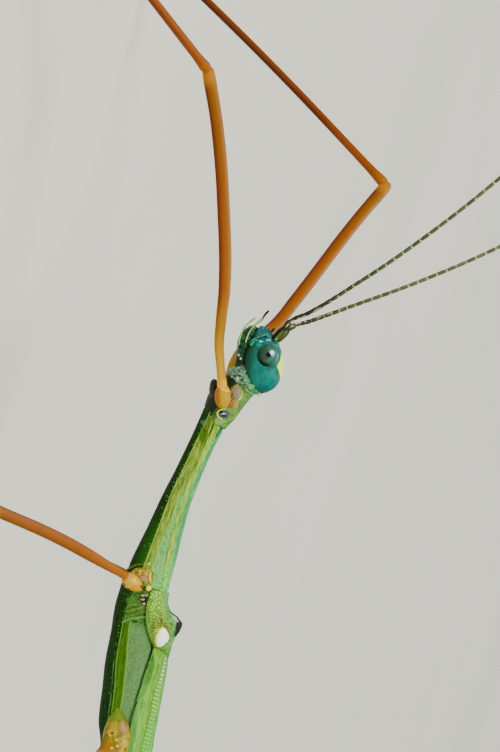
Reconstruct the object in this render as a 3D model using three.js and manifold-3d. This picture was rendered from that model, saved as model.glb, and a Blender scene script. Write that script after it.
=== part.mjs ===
// A winged stick insect, an adult female, standing still on its six feet. Millimetres, +Z up.
// It is laid out with the head towards +X, its left side towards +Y and the floor at z = 0, with
// x = 0 over the fore coxae. The finished group is then moved so that its box stands centred on
// the origin.
import * as THREE from "three";
import { mergeVertices } from "three/addons/utils/BufferGeometryUtils.js";
import Module from "manifold-3d";

const wasm = await Module();
wasm.setup();

const seamGap = 0.05; // left between neighbouring plates, and between each limb and its socket
const weldReach = 1e-4; // vertices nearer than this are one
const sectionPower = 2.25; // 2 is a plain ellipse, and more squares the trunk's section off
const feelerRadius = 0.26; // the thinnest that a feeler, shin or foot is made
const footLevel = 0.9; // height of the ankle over the floor
const toeLevel = 0.19; // height of the foot's centre line, so that its underside is a flat

const skin = {
  teal: { color: 0x1f8a8c, roughness: 0.4 },
  eye: { color: 0x4c7d78, roughness: 0.15 },
  green: { color: 0x5d9a4e, roughness: 0.5 },
  darkGreen: { color: 0x2c6a2e, roughness: 0.5 },
  paleGreen: { color: 0x86b874, roughness: 0.55 },
  orange: { color: 0xc9761c, roughness: 0.45 },
  red: { color: 0xb4542a, roughness: 0.45 },
  brown: { color: 0x4a3420, roughness: 0.5 },
};

// ---- shapes -------------------------------------------------------------------------------

// A solid from a closed geometry, with its faces turned outwards.
function solidOf(geometry) {
  const bare = geometry.index ? geometry.toNonIndexed() : geometry.clone();
  bare.deleteAttribute("normal");
  bare.deleteAttribute("uv");
  const merged = mergeVertices(bare, weldReach);
  const vertProperties = merged.attributes.position.array;
  const triVerts = new Uint32Array(merged.index.array);
  const corners = [new THREE.Vector3(), new THREE.Vector3(), new THREE.Vector3()];
  let volume = 0;
  for (let i = 0; i < triVerts.length; i += 3) {
    corners.forEach((corner, k) => corner.fromArray(vertProperties, triVerts[i + k] * 3));
    volume += corners[0].dot(corners[1].clone().cross(corners[2])) / 6;
  }
  if (volume < 0) {
    for (let i = 0; i < triVerts.length; i += 3) {
      [triVerts[i + 1], triVerts[i + 2]] = [triVerts[i + 2], triVerts[i + 1]];
    }
  }
  return new wasm.Manifold(new wasm.Mesh({ numProp: 3, vertProperties, triVerts }));
}

function geometryOf(solid) {
  const { vertProperties, numProp, triVerts } = solid.getMesh();
  const geometry = new THREE.BufferGeometry();
  const positions = new Float32Array((vertProperties.length / numProp) * 3);
  for (let i = 0; i < positions.length / 3; i += 1) {
    positions.set(vertProperties.subarray(i * numProp, i * numProp + 3), i * 3);
  }
  geometry.setAttribute("position", new THREE.BufferAttribute(positions, 3));
  geometry.setIndex(new THREE.BufferAttribute(new Uint32Array(triVerts), 1));
  geometry.computeVertexNormals();
  return geometry;
}

// The same solid with its whole surface moved out by a small distance.
function swollen(solid, by) {
  const geometry = geometryOf(solid);
  const { position, normal } = geometry.attributes;
  for (let i = 0; i < position.count; i += 1) {
    position.setXYZ(
      i,
      position.getX(i) + normal.getX(i) * by,
      position.getY(i) + normal.getY(i) * by,
      position.getZ(i) + normal.getZ(i) * by,
    );
  }
  return solidOf(geometry);
}

// A closed sleeve: each vertex of a cylinder goes where place(along, angle, reach) says. along
// runs from 0 to 1 over its length, angle is 0 at the top, and reach is 0 at a cap's centre.
function sleeve(sides, rings, place) {
  const geometry = new THREE.CylinderGeometry(1, 1, 1, sides, rings);
  const position = geometry.attributes.position;
  for (let i = 0; i < position.count; i += 1) {
    const reach = Math.hypot(position.getX(i), position.getZ(i));
    const angle = Math.atan2(position.getX(i), position.getZ(i));
    const spot = place(position.getY(i) + 0.5, angle, Math.min(1, reach));
    position.setXYZ(i, spot.x, spot.y, spot.z);
  }
  return geometry;
}

// The value of a smooth curve through rows of numbers, at a place from 0 at the first row to
// 1 at the last one.
function blend(rows, place, column) {
  const last = rows.length - 1;
  const at = Math.min(Math.max(place, 0), 1) * last;
  const i = Math.min(Math.floor(at), last - 1);
  const t = at - i;
  const value = (k) => rows[Math.min(Math.max(k, 0), last)][column];
  const leaving = (value(i + 1) - value(i - 1)) / 2;
  const arriving = (value(i + 2) - value(i)) / 2;
  const a = 2 * value(i) - 2 * value(i + 1) + leaving + arriving;
  const b = -3 * value(i) + 3 * value(i + 1) - 2 * leaving - arriving;
  return ((a * t + b) * t + leaving) * t + value(i);
}

// The value at x of a smooth curve through [x, value] rows, whose x rises.
function valueAt(rows, x) {
  const last = rows.length - 1;
  let i = 0;
  while (i < last - 1 && x > rows[i + 1][0]) {
    i += 1;
  }
  const step = (x - rows[i][0]) / (rows[i + 1][0] - rows[i][0]);
  return blend(rows, (i + Math.min(Math.max(step, 0), 1)) / last, 1);
}

function rounded(cosine) {
  return Math.sign(cosine) * Math.abs(cosine) ** (2 / sectionPower);
}

// A trunk piece through hoops. Each hoop is [top x, top z, bottom x, bottom z, half width], so
// that it may lean.
function trunkPiece(hoops, sides, rings) {
  return sleeve(sides, rings, (along, angle, reach) => {
    const [topX, topZ, bottomX, bottomZ, half] = [0, 1, 2, 3, 4].map((c) => blend(hoops, along, c));
    const up = 0.5 + 0.5 * reach * rounded(Math.cos(angle));
    return new THREE.Vector3(
      bottomX + (topX - bottomX) * up,
      half * reach * rounded(Math.sin(angle)),
      bottomZ + (topZ - bottomZ) * up,
    );
  });
}

// A limb along a smooth curve through points. girth rows are [place, half width, half height],
// and no part of it goes under the floor.
function limb(points, girth, sides, rings) {
  const path = new THREE.CatmullRomCurve3(points.map((p) => new THREE.Vector3(...p)), false, "centripetal");
  return sleeve(sides, rings, (along, angle, reach) => {
    const middle = path.getPointAt(along);
    const ahead = path.getTangentAt(along);
    const aside = new THREE.Vector3(0, 0, 1).cross(ahead).normalize();
    const above = ahead.clone().cross(aside).normalize();
    const place = girthPlace(girth, along);
    middle.addScaledVector(aside, reach * Math.sin(angle) * blend(girth, place, 1));
    middle.addScaledVector(above, reach * Math.cos(angle) * blend(girth, place, 2));
    middle.z = Math.max(0, middle.z);
    return middle;
  });
}

// Where along the rows a place given in their first column lies, from 0 to 1.
function girthPlace(rows, place) {
  let i = 0;
  while (i < rows.length - 2 && place > rows[i + 1][0]) {
    i += 1;
  }
  const step = (place - rows[i][0]) / (rows[i + 1][0] - rows[i][0]);
  return (i + step) / (rows.length - 1);
}

function ball(centre, radii, across, down) {
  const geometry = new THREE.SphereGeometry(1, across, down);
  geometry.scale(...radii);
  geometry.translate(...centre);
  return geometry;
}

// ---- assembly -----------------------------------------------------------------------------

const body = new THREE.Group();
const made = [];

// Adds a piece, cut back from every piece made before it that it would touch.
function addPiece(name, geometries, finish) {
  let solid = geometries.map(solidOf).reduce((sum, next) => sum.add(next));
  const box = new THREE.Box3();
  for (const geometry of geometries) {
    geometry.computeBoundingBox();
    box.union(geometry.boundingBox);
  }
  for (const other of made) {
    if (box.intersectsBox(other.box)) {
      solid = solid.subtract(other.cutter);
    }
  }
  const whole = solid.decompose().reduce((best, next) => (next.volume() > best.volume() ? next : best));
  const mesh = new THREE.Mesh(geometryOf(whole), new THREE.MeshStandardMaterial(finish));
  mesh.name = name;
  body.add(mesh);
  made.push({ box: box.expandByScalar(seamGap), cutter: swollen(whole, seamGap) });
}

const sidesOf = [
  ["left", 1],
  ["right", -1],
];

// ---- head ---------------------------------------------------------------------------------

const eye = { centre: [3.14, 0.96, 19.76], radii: [0.73, 0.62, 0.73] };

const headHoops = [
  [0.6, 19.72, 0.78, 19.24, 0.32],
  [0.86, 20.22, 1.15, 18.72, 0.84],
  [1.4, 20.68, 1.68, 18.28, 1.12],
  [2.25, 20.82, 2.4, 18.02, 1.22],
  [3.2, 20.64, 3.1, 17.93, 1.22],
  [3.84, 20.26, 3.64, 18.04, 1.12],
  [4.3, 19.78, 4.18, 18.2, 0.95],
  [4.76, 19.34, 4.62, 18.32, 0.76],
  [5.04, 18.88, 4.98, 18.44, 0.46],
];

const mouthHoops = [
  [1.75, 18.4, 1.66, 17.62, 0.42],
  [2.7, 18.3, 2.62, 17.44, 0.7],
  [3.6, 18.3, 3.6, 17.27, 0.76],
  [4.4, 18.4, 4.46, 17.34, 0.68],
  [5.0, 18.5, 5.12, 17.92, 0.42],
];

function buildHead() {
  for (const [side, hand] of sidesOf) {
    const [x, y, z] = eye.centre;
    addPiece(`eye_${side}`, [ball([x, hand * y, z], eye.radii, 12, 9)], skin.eye);
  }
  addPiece("head", [trunkPiece(headHoops, 16, 10)], skin.teal);
  const labialPalps = sidesOf.map(([, hand]) =>
    limb(
      [
        [4.2, hand * 0.5, 17.56],
        [4.95, hand * 0.76, 17.68],
        [5.42, hand * 0.8, 18.16],
      ],
      [
        [0, 0.2, 0.2],
        [0.9, 0.2, 0.2],
        [1, 0.1, 0.1],
      ],
      6,
      3,
    ),
  );
  addPiece("mouthparts", [trunkPiece(mouthHoops, 8, 5), ...labialPalps], skin.teal);
  for (const [side, hand] of sidesOf) {
    const palp = [
      [4.2, hand * 0.62, 18.1],
      [5.3, hand * 1.0, 18.62],
      [6.1, hand * 1.06, 18.84],
    ];
    const palpGirth = [
      [0, 0.22, 0.22],
      [0.9, 0.24, 0.24],
      [1, 0.12, 0.12],
    ];
    addPiece(`palp_${side}`, [limb(palp, palpGirth, 6, 4)], skin.brown);
  }
}

// ---- antennae -----------------------------------------------------------------------------

const antennaRoot = 15; // length of the piece that carries the scape
const antennae = {
  left: [
    [4.35, 0.5, 19.74],
    [5.72, 0.9, 20.42],
    [6.65, 1.6, 21.55],
    [9.13, 2.8, 24.04],
    [12.82, 4.6, 27.41],
    [18.43, 7.1, 31.86],
    [27.4, 10.9, 38.0],
    [37.2, 14.7, 42.6],
    [47.8, 18.2, 45.2],
  ],
  right: [
    [4.35, -0.5, 19.74],
    [5.44, -0.9, 20.26],
    [6.16, -1.7, 21.17],
    [8.05, -3.3, 23.45],
    [10.72, -5.3, 26.69],
    [14.88, -8.1, 31.17],
    [22.9, -12.6, 38.6],
    [32.2, -16.6, 44.6],
    [42.4, -20.0, 48.2],
  ],
};

function buildAntennae() {
  for (const [side] of sidesOf) {
    const route = new THREE.CatmullRomCurve3(
      antennae[side].map((p) => new THREE.Vector3(...p)),
      false,
      "centripetal",
    );
    const full = route.getLength();
    const cuts = [0, antennaRoot / full, (antennaRoot / full + 1) / 2, 1];
    ["base", "middle", "tip"].forEach((length, i) => {
      const points = [];
      const steps = 8;
      for (let k = 0; k <= steps; k += 1) {
        points.push(route.getPointAt(cuts[i] + ((cuts[i + 1] - cuts[i]) * k) / steps).toArray());
      }
      const root = i === 0 ? feelerRadius * 1.25 : feelerRadius;
      const girth = [
        [0, root, root],
        [0.14, feelerRadius, feelerRadius],
        [0.28, feelerRadius, feelerRadius],
        [1, feelerRadius, feelerRadius],
      ];
      addPiece(`antenna_${side}_${length}`, [limb(points, girth, 6, i === 0 ? 10 : 6)], skin.brown);
    });
  }
}

// ---- trunk --------------------------------------------------------------------------------

const prothoraxHoops = [
  [-1.55, 18.6, -1.35, 16.42, 0.98],
  [-0.8, 18.86, -0.5, 16.44, 1.02],
  [0.0, 19.2, 0.45, 16.72, 1.06],
  [0.6, 19.5, 1.35, 17.25, 0.94],
];

const neckHoops = [
  [0.3, 19.3, 1.1, 17.35, 0.8],
  [0.9, 19.55, 1.75, 17.6, 0.8],
  [1.5, 19.8, 2.3, 18.1, 0.74],
];

const mesothoraxHoops = [
  [-1.55, 18.6, -1.35, 16.42, 0.98],
  [-3.6, 18.15, -3.6, 16.18, 0.92],
  [-5.8, 17.7, -5.8, 15.82, 0.94],
  [-7.9, 17.53, -7.9, 15.44, 1.02],
  [-10.0, 17.58, -10.0, 15.14, 1.1],
  [-12.2, 17.71, -12.2, 14.78, 1.34],
  [-13.7, 17.76, -13.7, 14.58, 1.5],
];

const metathoraxHoops = [
  [-13.7, 17.76, -13.7, 14.58, 1.5],
  [-15.6, 17.8, -15.6, 14.58, 1.58],
  [-17.5, 18.15, -17.5, 14.85, 1.64],
  [-19.4, 18.5, -19.4, 15.05, 1.7],
  [-21.3, 18.76, -21.3, 15.42, 1.7],
];

// The abdomen's axis and girth, from its base to its tip: [distance behind x = 0, value].
const abdomenAxis = [
  [21.3, 17.1],
  [25, 17.8],
  [31, 18.5],
  [38, 19.2],
  [45, 19.78],
  [52, 20.15],
  [60, 20.35],
  [71, 20.4],
];
const abdomenHalfHeight = [
  [21.3, 1.66],
  [25, 1.34],
  [31, 1.26],
  [38, 1.2],
  [45, 1.14],
  [52, 1.06],
  [60, 0.98],
  [66, 0.86],
  [71, 0.55],
];
const abdomenHalfWidth = [
  [21.3, 1.7],
  [25, 1.54],
  [31, 1.42],
  [38, 1.32],
  [45, 1.22],
  [52, 1.12],
  [60, 1.02],
  [66, 0.92],
  [71, 0.6],
];
// Where the abdomen's rings end. The first is the median segment, and the rest are 2 to 10.
const ringHoopCount = 5;
const abdomenEnds = [21.3, 25.0, 31.2, 37.9, 44.4, 50.5, 56.2, 61.2, 64.3, 66.6, 68.8];

function abdomenHoop(behind) {
  const axis = valueAt(abdomenAxis, behind);
  const tall = valueAt(abdomenHalfHeight, behind);
  return [-behind, axis + tall, -behind, axis - tall, valueAt(abdomenHalfWidth, behind)];
}

// The hoops of one ring of the abdomen, between two distances.
function ringHoops(from, to) {
  return Array.from({ length: ringHoopCount }, (_, i) => {
    return abdomenHoop(from + ((to - from) * i) / (ringHoopCount - 1));
  });
}

const operculumHoops = [
  [-61.6, 19.55, -61.6, 19.28, 0.5],
  [-64.0, 19.75, -63.8, 19.05, 0.84],
  [-67.0, 19.8, -66.6, 19.1, 0.74],
  [-69.9, 19.72, -69.9, 19.46, 0.3],
];

function buildTrunk() {
  addPiece("prothorax", [trunkPiece(prothoraxHoops, 14, 4)], skin.green);
  addPiece("neck", [trunkPiece(neckHoops, 10, 2)], skin.paleGreen);
  addPiece("mesothorax", [trunkPiece(mesothoraxHoops, 14, 9)], skin.green);
  addPiece("metathorax", [trunkPiece(metathoraxHoops, 14, 5)], skin.green);
  for (let i = 0; i + 1 < abdomenEnds.length; i += 1) {
    const name = i === 0 ? "median_segment" : `abdomen_${i + 1}`;
    const ring = trunkPiece(ringHoops(abdomenEnds[i], abdomenEnds[i + 1]), 10, 2);
    addPiece(name, [ring], skin.green);
  }
  addPiece("operculum", [trunkPiece(operculumHoops, 10, 4)], skin.darkGreen);
  for (const [side, hand] of sidesOf) {
    const cercus = [
      [-68.2, hand * 0.42, 20.3],
      [-69.6, hand * 0.52, 20.32],
      [-70.5, hand * 0.46, 20.28],
    ];
    const cercusGirth = [
      [0, 0.26, 0.28],
      [0.6, 0.26, 0.26],
      [1, 0.12, 0.12],
    ];
    addPiece(`cercus_${side}`, [limb(cercus, cercusGirth, 6, 3)], skin.green);
  }
}

// ---- wings --------------------------------------------------------------------------------

// Each wing is a curved plate over the back: [distance behind x = 0, value].
const tegmenTop = [
  [13.9, 17.98],
  [14.5, 18.24],
  [15.0, 18.58],
  [15.5, 18.84],
  [16.2, 18.98],
  [17.2, 19.12],
  [18.3, 19.24],
];
const tegmenReach = [
  [13.9, 46],
  [14.8, 66],
  [15.8, 63],
  [16.6, 56],
  [17.4, 44],
  [18.3, 14],
];
const tegmenHump = { behind: 15.6, angle: 20, height: 0.44, length: 0.62, spread: 15 };
const hindwingTop = [
  [16.4, 18.9],
  [18.1, 19.2],
  [19.4, 19.42],
  [21.7, 19.66],
  [24, 19.98],
  [31, 20.52],
  [38, 21.02],
  [45, 21.44],
  [49, 21.52],
  [50.5, 21.44],
];
const hindwingReach = [
  [16.4, 50],
  [18.4, 60],
  [20, 62],
  [24, 70],
  [31, 78],
  [38, 80],
  [45, 70],
  [49, 40],
  [50.5, 12],
];
const wingThickness = 0.52;
const wingGap = 0.06; // between the back and a wing's underside
const midlineAngle = 2.2; // degrees from the top at which each wing's inner edge runs
const bodyRows = metathoraxHoops.map(([x, top, , bottom, half]) => [-x, top, bottom, half]);

// The trunk's middle height, half height and half width under the wings.
function underWing(behind) {
  if (behind > abdomenEnds[0]) {
    return [
      valueAt(abdomenAxis, behind),
      valueAt(abdomenHalfHeight, behind),
      valueAt(abdomenHalfWidth, behind),
    ];
  }
  const pick = (column) => valueAt(bodyRows.map((row) => [row[0], row[column]]), behind);
  return [(pick(1) + pick(2)) / 2, (pick(1) - pick(2)) / 2, pick(3)];
}

// A wing's plate from one distance to another, on the side of hand. top is its outer height
// on the midline, and reach is how far round the trunk it comes, in degrees.
function wingPlate(from, to, top, reach, hand, rings, hump) {
  return sleeve(12, rings, (along, angle, cap) => {
    const behind = from + (to - from) * along;
    const [middle, tall, half] = underWing(behind);
    const full = (angle + 2 * Math.PI) % (2 * Math.PI);
    const outside = full <= Math.PI + 1e-6;
    const round = outside ? full / Math.PI : 2 - full / Math.PI;
    const lower = valueAt(reach, behind);
    const degrees = midlineAngle + (lower - midlineAngle) * (0.5 + (round - 0.5) * cap);
    const turn = THREE.MathUtils.degToRad(degrees);
    const crown = valueAt(top, behind) - middle - tall;
    const rim = wingThickness + wingGap;
    const outer = rim + (crown - rim) * Math.cos(turn) ** 2;
    const onEdge = Math.abs(round - 0.5) > 0.48 || cap < 0.5;
    let lift = outside ? outer : wingGap;
    if (onEdge) {
      lift = (outer + wingGap) / 2;
    }
    if (hump && outside && cap > 0.5) {
      const near = ((behind - hump.behind) / hump.length) ** 2 + ((degrees - hump.angle) / hump.spread) ** 2;
      lift += hump.height * Math.exp(-near);
    }
    return new THREE.Vector3(
      -behind,
      hand * (half + lift) * rounded(Math.sin(turn)),
      middle + (tall + lift) * rounded(Math.cos(turn)),
    );
  });
}

function buildWings() {
  for (const [side, hand] of sidesOf) {
    const plate = wingPlate(13.9, 18.3, tegmenTop, tegmenReach, hand, 7, tegmenHump);
    addPiece(`tegmen_${side}`, [plate], skin.paleGreen);
  }
  for (const [side, hand] of sidesOf) {
    const plate = wingPlate(16.4, 50.5, hindwingTop, hindwingReach, hand, 10, null);
    addPiece(`hindwing_${side}`, [plate], skin.paleGreen);
  }
}

// ---- legs ---------------------------------------------------------------------------------

// Each leg: its coxa's centre and radii, and the route of its femur from the hip to the knee,
// then its ankle, and how far its foot runs along x and y.
const legs = {
  fore: {
    left: {
      coxa: [-0.12, 1.3, 17.58],
      femur: [
        [0.3, 1.45, 17.47],
        [2.12, 2.08, 16.85],
        [2.93, 2.37, 16.6],
        [4.68, 2.95, 16.32],
        [6.62, 3.6, 16.04],
        [11.46, 5.29, 14.73],
        [16.29, 7.02, 13.1],
        [20.04, 8.4, 11.55],
      ],
      ankle: [28.45, 27.9, footLevel],
      foot: [2.1, 5.0],
    },
    right: {
      coxa: [-0.12, -1.3, 17.58],
      femur: [
        [0.3, -1.4, 17.3],
        [1.82, -1.6, 17.03],
        [2.84, -2.1, 17.05],
        [3.96, -3.5, 17.7],
        [5.37, -5.12, 18.51],
        [7.42, -6.64, 19.09],
        [14.02, -11.11, 20.8],
        [17.2, -13.35, 21.8],
      ],
      ankle: [28.2, -17.0, footLevel],
      foot: [3.2, -4.4],
    },
  },
  mid: {
    left: {
      coxa: [-13.82, 1.75, 15.95],
      femur: [
        [-13.6, 2.1, 15.3],
        [-13.18, 4.2, 14.3],
        [-12.16, 9.2, 11.56],
        [-11.26, 16.4, 8.1],
      ],
      ankle: [-9.9, 25.4, footLevel],
      foot: [0.9, 4.5],
    },
    right: {
      coxa: [-13.82, -1.75, 15.95],
      femur: [
        [-13.6, -2.1, 15.42],
        [-14.1, -8.5, 14.9],
        [-14.6, -15.0, 14.0],
      ],
      ankle: [-12.8, -16.9, footLevel],
      foot: [-1.6, -3.7],
    },
  },
  hind: {
    left: {
      coxa: [-23.45, 1.6, 17.15],
      femur: [
        [-24.1, 2.0, 16.8],
        [-31.3, 8.4, 17.3],
        [-38.5, 15.0, 17.0],
      ],
      ankle: [-51.0, 24.8, footLevel],
      foot: [-4.4, 3.4],
    },
    right: {
      coxa: [-23.45, -1.6, 17.15],
      femur: [
        [-24.1, -2.0, 16.8],
        [-30.0, -9.1, 17.3],
        [-36.0, -16.5, 17.0],
      ],
      ankle: [-46.0, -28.0, footLevel],
      foot: [-3.6, -4.3],
    },
  },
};
const coxaRadii = { fore: [0.68, 0.55, 0.62], mid: [0.95, 0.62, 0.72], hind: [1.15, 0.6, 0.85] };
const femurGirth = [
  [0, 0.36, 0.36],
  [0.12, 0.3, 0.3],
  [0.3, 0.4, 0.4],
  [0.9, 0.4, 0.4],
  [0.97, 0.48, 0.48],
  [1, 0.32, 0.32],
];
const tibiaGirth = [
  [0, 0.36, 0.36],
  [0.12, 0.3, 0.3],
  [0.85, 0.28, 0.28],
  [1, 0.33, 0.33],
];
// The foot's centre line: [share of its run, height].
const footRows = [
  [0, 0.78],
  [0.2, 0.42],
  [0.45, toeLevel],
  [1, toeLevel],
];
const footGirth = [
  [0, 0.3, 0.3],
  [0.4, feelerRadius, 0.3],
  [0.85, 0.32, 0.31],
  [1, 0.26, 0.28],
];

function buildLegs() {
  for (const [pair, both] of Object.entries(legs)) {
    for (const [side] of sidesOf) {
      const { coxa, femur, ankle, foot } = both[side];
      const name = `${pair}_${side}`;
      const knee = femur[femur.length - 1];
      const sole = footRows.map(([share, level]) => {
        return [ankle[0] + foot[0] * share, ankle[1] + foot[1] * share, level];
      });
      addPiece(`${name}_coxa`, [ball(coxa, coxaRadii[pair], 9, 6)], skin.orange);
      addPiece(`${name}_femur`, [limb(femur, femurGirth, 8, pair === "fore" ? 10 : 5)], skin.orange);
      addPiece(`${name}_tibia`, [limb([knee, ankle], tibiaGirth, 8, 3)], skin.red);
      addPiece(`${name}_tarsus`, [limb(sole, footGirth, 8, 5)], skin.brown);
    }
  }
}

buildHead();
buildTrunk();
buildAntennae();
buildWings();
buildLegs();

const extent = new THREE.Box3().setFromObject(body);
const middle = extent.getCenter(new THREE.Vector3());
body.position.set(-middle.x, -middle.y, -extent.min.z);

export default body;
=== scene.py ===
import math
import random

import bpy
import numpy as np
from mathutils import Matrix, Vector


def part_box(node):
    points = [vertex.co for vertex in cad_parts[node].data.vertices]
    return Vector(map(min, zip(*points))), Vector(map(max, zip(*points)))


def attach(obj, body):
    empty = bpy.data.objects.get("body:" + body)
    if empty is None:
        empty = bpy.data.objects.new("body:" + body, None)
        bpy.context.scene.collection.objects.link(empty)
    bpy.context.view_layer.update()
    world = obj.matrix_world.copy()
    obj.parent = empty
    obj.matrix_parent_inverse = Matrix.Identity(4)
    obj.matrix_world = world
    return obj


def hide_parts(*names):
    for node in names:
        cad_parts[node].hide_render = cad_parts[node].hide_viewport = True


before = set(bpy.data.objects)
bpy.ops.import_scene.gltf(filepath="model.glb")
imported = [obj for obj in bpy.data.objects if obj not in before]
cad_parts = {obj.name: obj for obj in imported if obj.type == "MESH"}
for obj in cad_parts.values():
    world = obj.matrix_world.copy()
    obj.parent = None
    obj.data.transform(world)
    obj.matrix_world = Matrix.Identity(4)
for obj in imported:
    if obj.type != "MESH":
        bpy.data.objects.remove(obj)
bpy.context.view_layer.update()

# Pieces are modelled in millimetres in the insect's own layout: head towards +X, left side towards
# +Y, floor at z = 0 and x = 0 over the fore coxae. settle() then puts them in the frame, in metres.
layout = {
    "unit": 0.001,
    "leftEye": Vector((3.14, 0.96, 19.76)),
    # the line from the feet to the head leans with the camera, by these degrees and this cosine and sine
    "lean": 17,
    "leanCosine": 0.956,
    "leanSine": 0.292,
}
eyeLow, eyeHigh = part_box("eye_left")
frameShift = (eyeLow + eyeHigh) / 2 - layout["leftEye"] * layout["unit"]
sides = {"left": 1, "right": -1}
print("frame:", len(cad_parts), "nodes")


# ---- shader words
class Signal:
    # one output of a shader node, so that maths on it can be written as a plain expression
    def __init__(self, paint, socket):
        self.paint = paint
        self.socket = socket

    def maths(self, operation, *others, flipped=False, clamp=False):
        values = [self, *others]
        if flipped:
            values.reverse()
        return self.paint.node("ShaderNodeMath", {"operation": operation, "use_clamp": clamp}, values)

    def __add__(self, other):
        return self.maths("ADD", other)

    def __sub__(self, other):
        return self.maths("SUBTRACT", other)

    def __rsub__(self, other):
        return self.maths("SUBTRACT", other, flipped=True)

    def __mul__(self, other):
        return self.maths("MULTIPLY", other)

    def __truediv__(self, other):
        return self.maths("DIVIDE", other)

    def __pow__(self, other):
        return self.maths("POWER", other)

    __radd__ = __add__
    __rmul__ = __mul__

    def size(self):
        return self.maths("ABSOLUTE")

    def part(self):
        return self.maths("FRACT")

    def wave(self):
        return self.maths("SINE")

    def rising(self, low, high):
        # 0 at low and before, 1 at high and past it
        settings = {"interpolation_type": "SMOOTHSTEP"}
        return self.paint.node(
            "ShaderNodeMapRange", settings, {"Value": self, "From Min": low, "From Max": high},
        )

    def falling(self, low, high):
        return 1 - self.rising(low, high)

    def tint(self, first, second, low=0.3, high=0.7):
        # from the first shade to the second as this rises from low to high
        return self.paint.mix(first, second, self.rising(low, high))

    def line(self, middle, half, soft=0.5):
        # 1 on a line of that half width round middle
        return 1 - (self - middle).size().rising(half * (1 - soft), half * (1 + soft))


class Paint:
    def __init__(self, name):
        self.material = bpy.data.materials.new(name)
        self.material.use_nodes = True
        self.tree = self.material.node_tree
        self.tree.nodes.clear()

    def node(self, kind, settings, inputs, output=0):
        made = self.tree.nodes.new(kind)
        for name, value in settings.items():
            if name == "stops":
                self.setStops(made.color_ramp, value)
            else:
                setattr(made, name, value)
        pairs = inputs.items() if isinstance(inputs, dict) else enumerate(inputs)
        for name, value in pairs:
            if isinstance(value, Signal):
                self.tree.links.new(value.socket, made.inputs[name])
            else:
                made.inputs[name].default_value = value
        return Signal(self, made.outputs[output])

    def setStops(self, ramp, stops):
        while len(ramp.elements) < len(stops):
            ramp.elements.new(0.5)
        for element, (place, colour) in zip(ramp.elements, stops):
            element.position = place
            element.color = colour

    def spot(self):
        # where the point is in the insect's own layout, in millimetres
        if not hasattr(self, "spotSignal"):
            objectPlace = self.node("ShaderNodeTexCoord", {}, {}, "Object")
            scale = 1 / layout["unit"]
            shift = -frameShift * scale
            settings = {"operation": "MULTIPLY_ADD"}
            self.spotSignal = self.node("ShaderNodeVectorMath", settings, [objectPlace, (scale,) * 3, shift])
        return self.spotSignal

    def xyz(self):
        return [self.node("ShaderNodeSeparateXYZ", {}, [self.spot()], k) for k in range(3)]

    def marked(self, name):
        return self.node("ShaderNodeAttribute", {"attribute_name": name}, {}, "Fac")

    def noise(self, scale, detail=2.0, vector=None, distortion=0.0):
        inputs = {"Vector": vector or self.spot(), "Scale": scale, "Detail": detail, "Distortion": distortion}
        return self.node("ShaderNodeTexNoise", {}, inputs, "Fac")

    def cells(self, scale, feature="F1"):
        inputs = {"Vector": self.spot(), "Scale": scale}
        return self.node("ShaderNodeTexVoronoi", {"feature": feature}, inputs, "Distance")

    def stretched(self, factors):
        return self.node("ShaderNodeVectorMath", {"operation": "MULTIPLY"}, [self.spot(), factors])

    def joined(self, *values):
        return self.node("ShaderNodeCombineXYZ", {}, list(values))

    def mix(self, first, second, share):
        # either colour may be a shade in screen values
        first, second = (tone(*colour) if isinstance(colour, tuple) else colour for colour in (first, second))
        return self.node("ShaderNodeMix", {"data_type": "RGBA"}, {0: share, 6: first, 7: second}, 2)

    def coats(self, colour, *layers):
        # lays each (shade, share) over the colour in turn
        for shade, share in layers:
            colour = self.mix(colour, shade, share)
        return colour

    def ramp(self, signal, stops):
        return self.node("ShaderNodeValToRGB", {"stops": stops}, [signal])

    def surface(self, colour, roughness=0.45, height=None, depth=0.02, gloss=0.25, **constants):
        # height is a relief from 0 to 1 whose full depth is given in millimetres
        inputs = {"Base Color": colour, "Roughness": roughness, "Specular IOR Level": gloss}
        inputs.update({name.replace("_", " "): value for name, value in constants.items()})
        if height is not None:
            relief = {"Height": height, "Strength": 1.0, "Distance": depth * layout["unit"]}
            inputs["Normal"] = self.node("ShaderNodeBump", {}, relief)
        shader = self.node("ShaderNodeBsdfPrincipled", {}, inputs)
        self.tree.links.new(shader.socket, self.tree.nodes.new("ShaderNodeOutputMaterial").inputs["Surface"])
        return self.material


# Strong colours are greyed on their way to the screen. tone() undoes that, so that it takes the colour
# a lit surface should end up with, in screen values of 0 to 255, and gives what it must be painted.
film = {
    "light": 1.5,
    "wide": ((0.6274, 0.3293, 0.0433), (0.0691, 0.9195, 0.0113), (0.0164, 0.088, 0.8956)),
    "inset": ((0.8566, 0.0951, 0.0483), (0.1373, 0.7612, 0.1014), (0.1119, 0.0768, 0.8113)),
    "outset": ((1.1271, -0.1106, -0.0165), (-0.1413, 1.1578, -0.0165), (-0.1413, -0.1106, 1.2519)),
    "curve": (15.5, -40.14, 31.96, -6.868, 0.4298, 0.1191, -0.00232),
    "darkest": -12.474,
    "brightest": 4.026,
    "least": 0.002,
    "most": 0.9,
}


def tone(red, green, blue):
    screen = np.array([red, green, blue]) / 255
    linear = np.where(screen <= 0.04045, screen / 12.92, ((screen + 0.055) / 1.055) ** 2.4)
    seen = np.maximum(np.array(film["wide"]) @ linear, 1e-6) ** (1 / 2.2)
    seen = np.linalg.solve(np.array(film["outset"]), seen)
    places = np.linspace(0, 1, 400)
    heights = np.maximum.accumulate(np.polyval(film["curve"], places))
    stops = film["darkest"] + np.interp(seen, heights, places) * (film["brightest"] - film["darkest"])
    lit = np.linalg.solve(np.array(film["wide"]), np.linalg.solve(np.array(film["inset"]), 2**stops))
    painted = np.clip(lit / film["light"], film["least"], film["most"])
    return (*painted.tolist(), 1.0)


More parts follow.
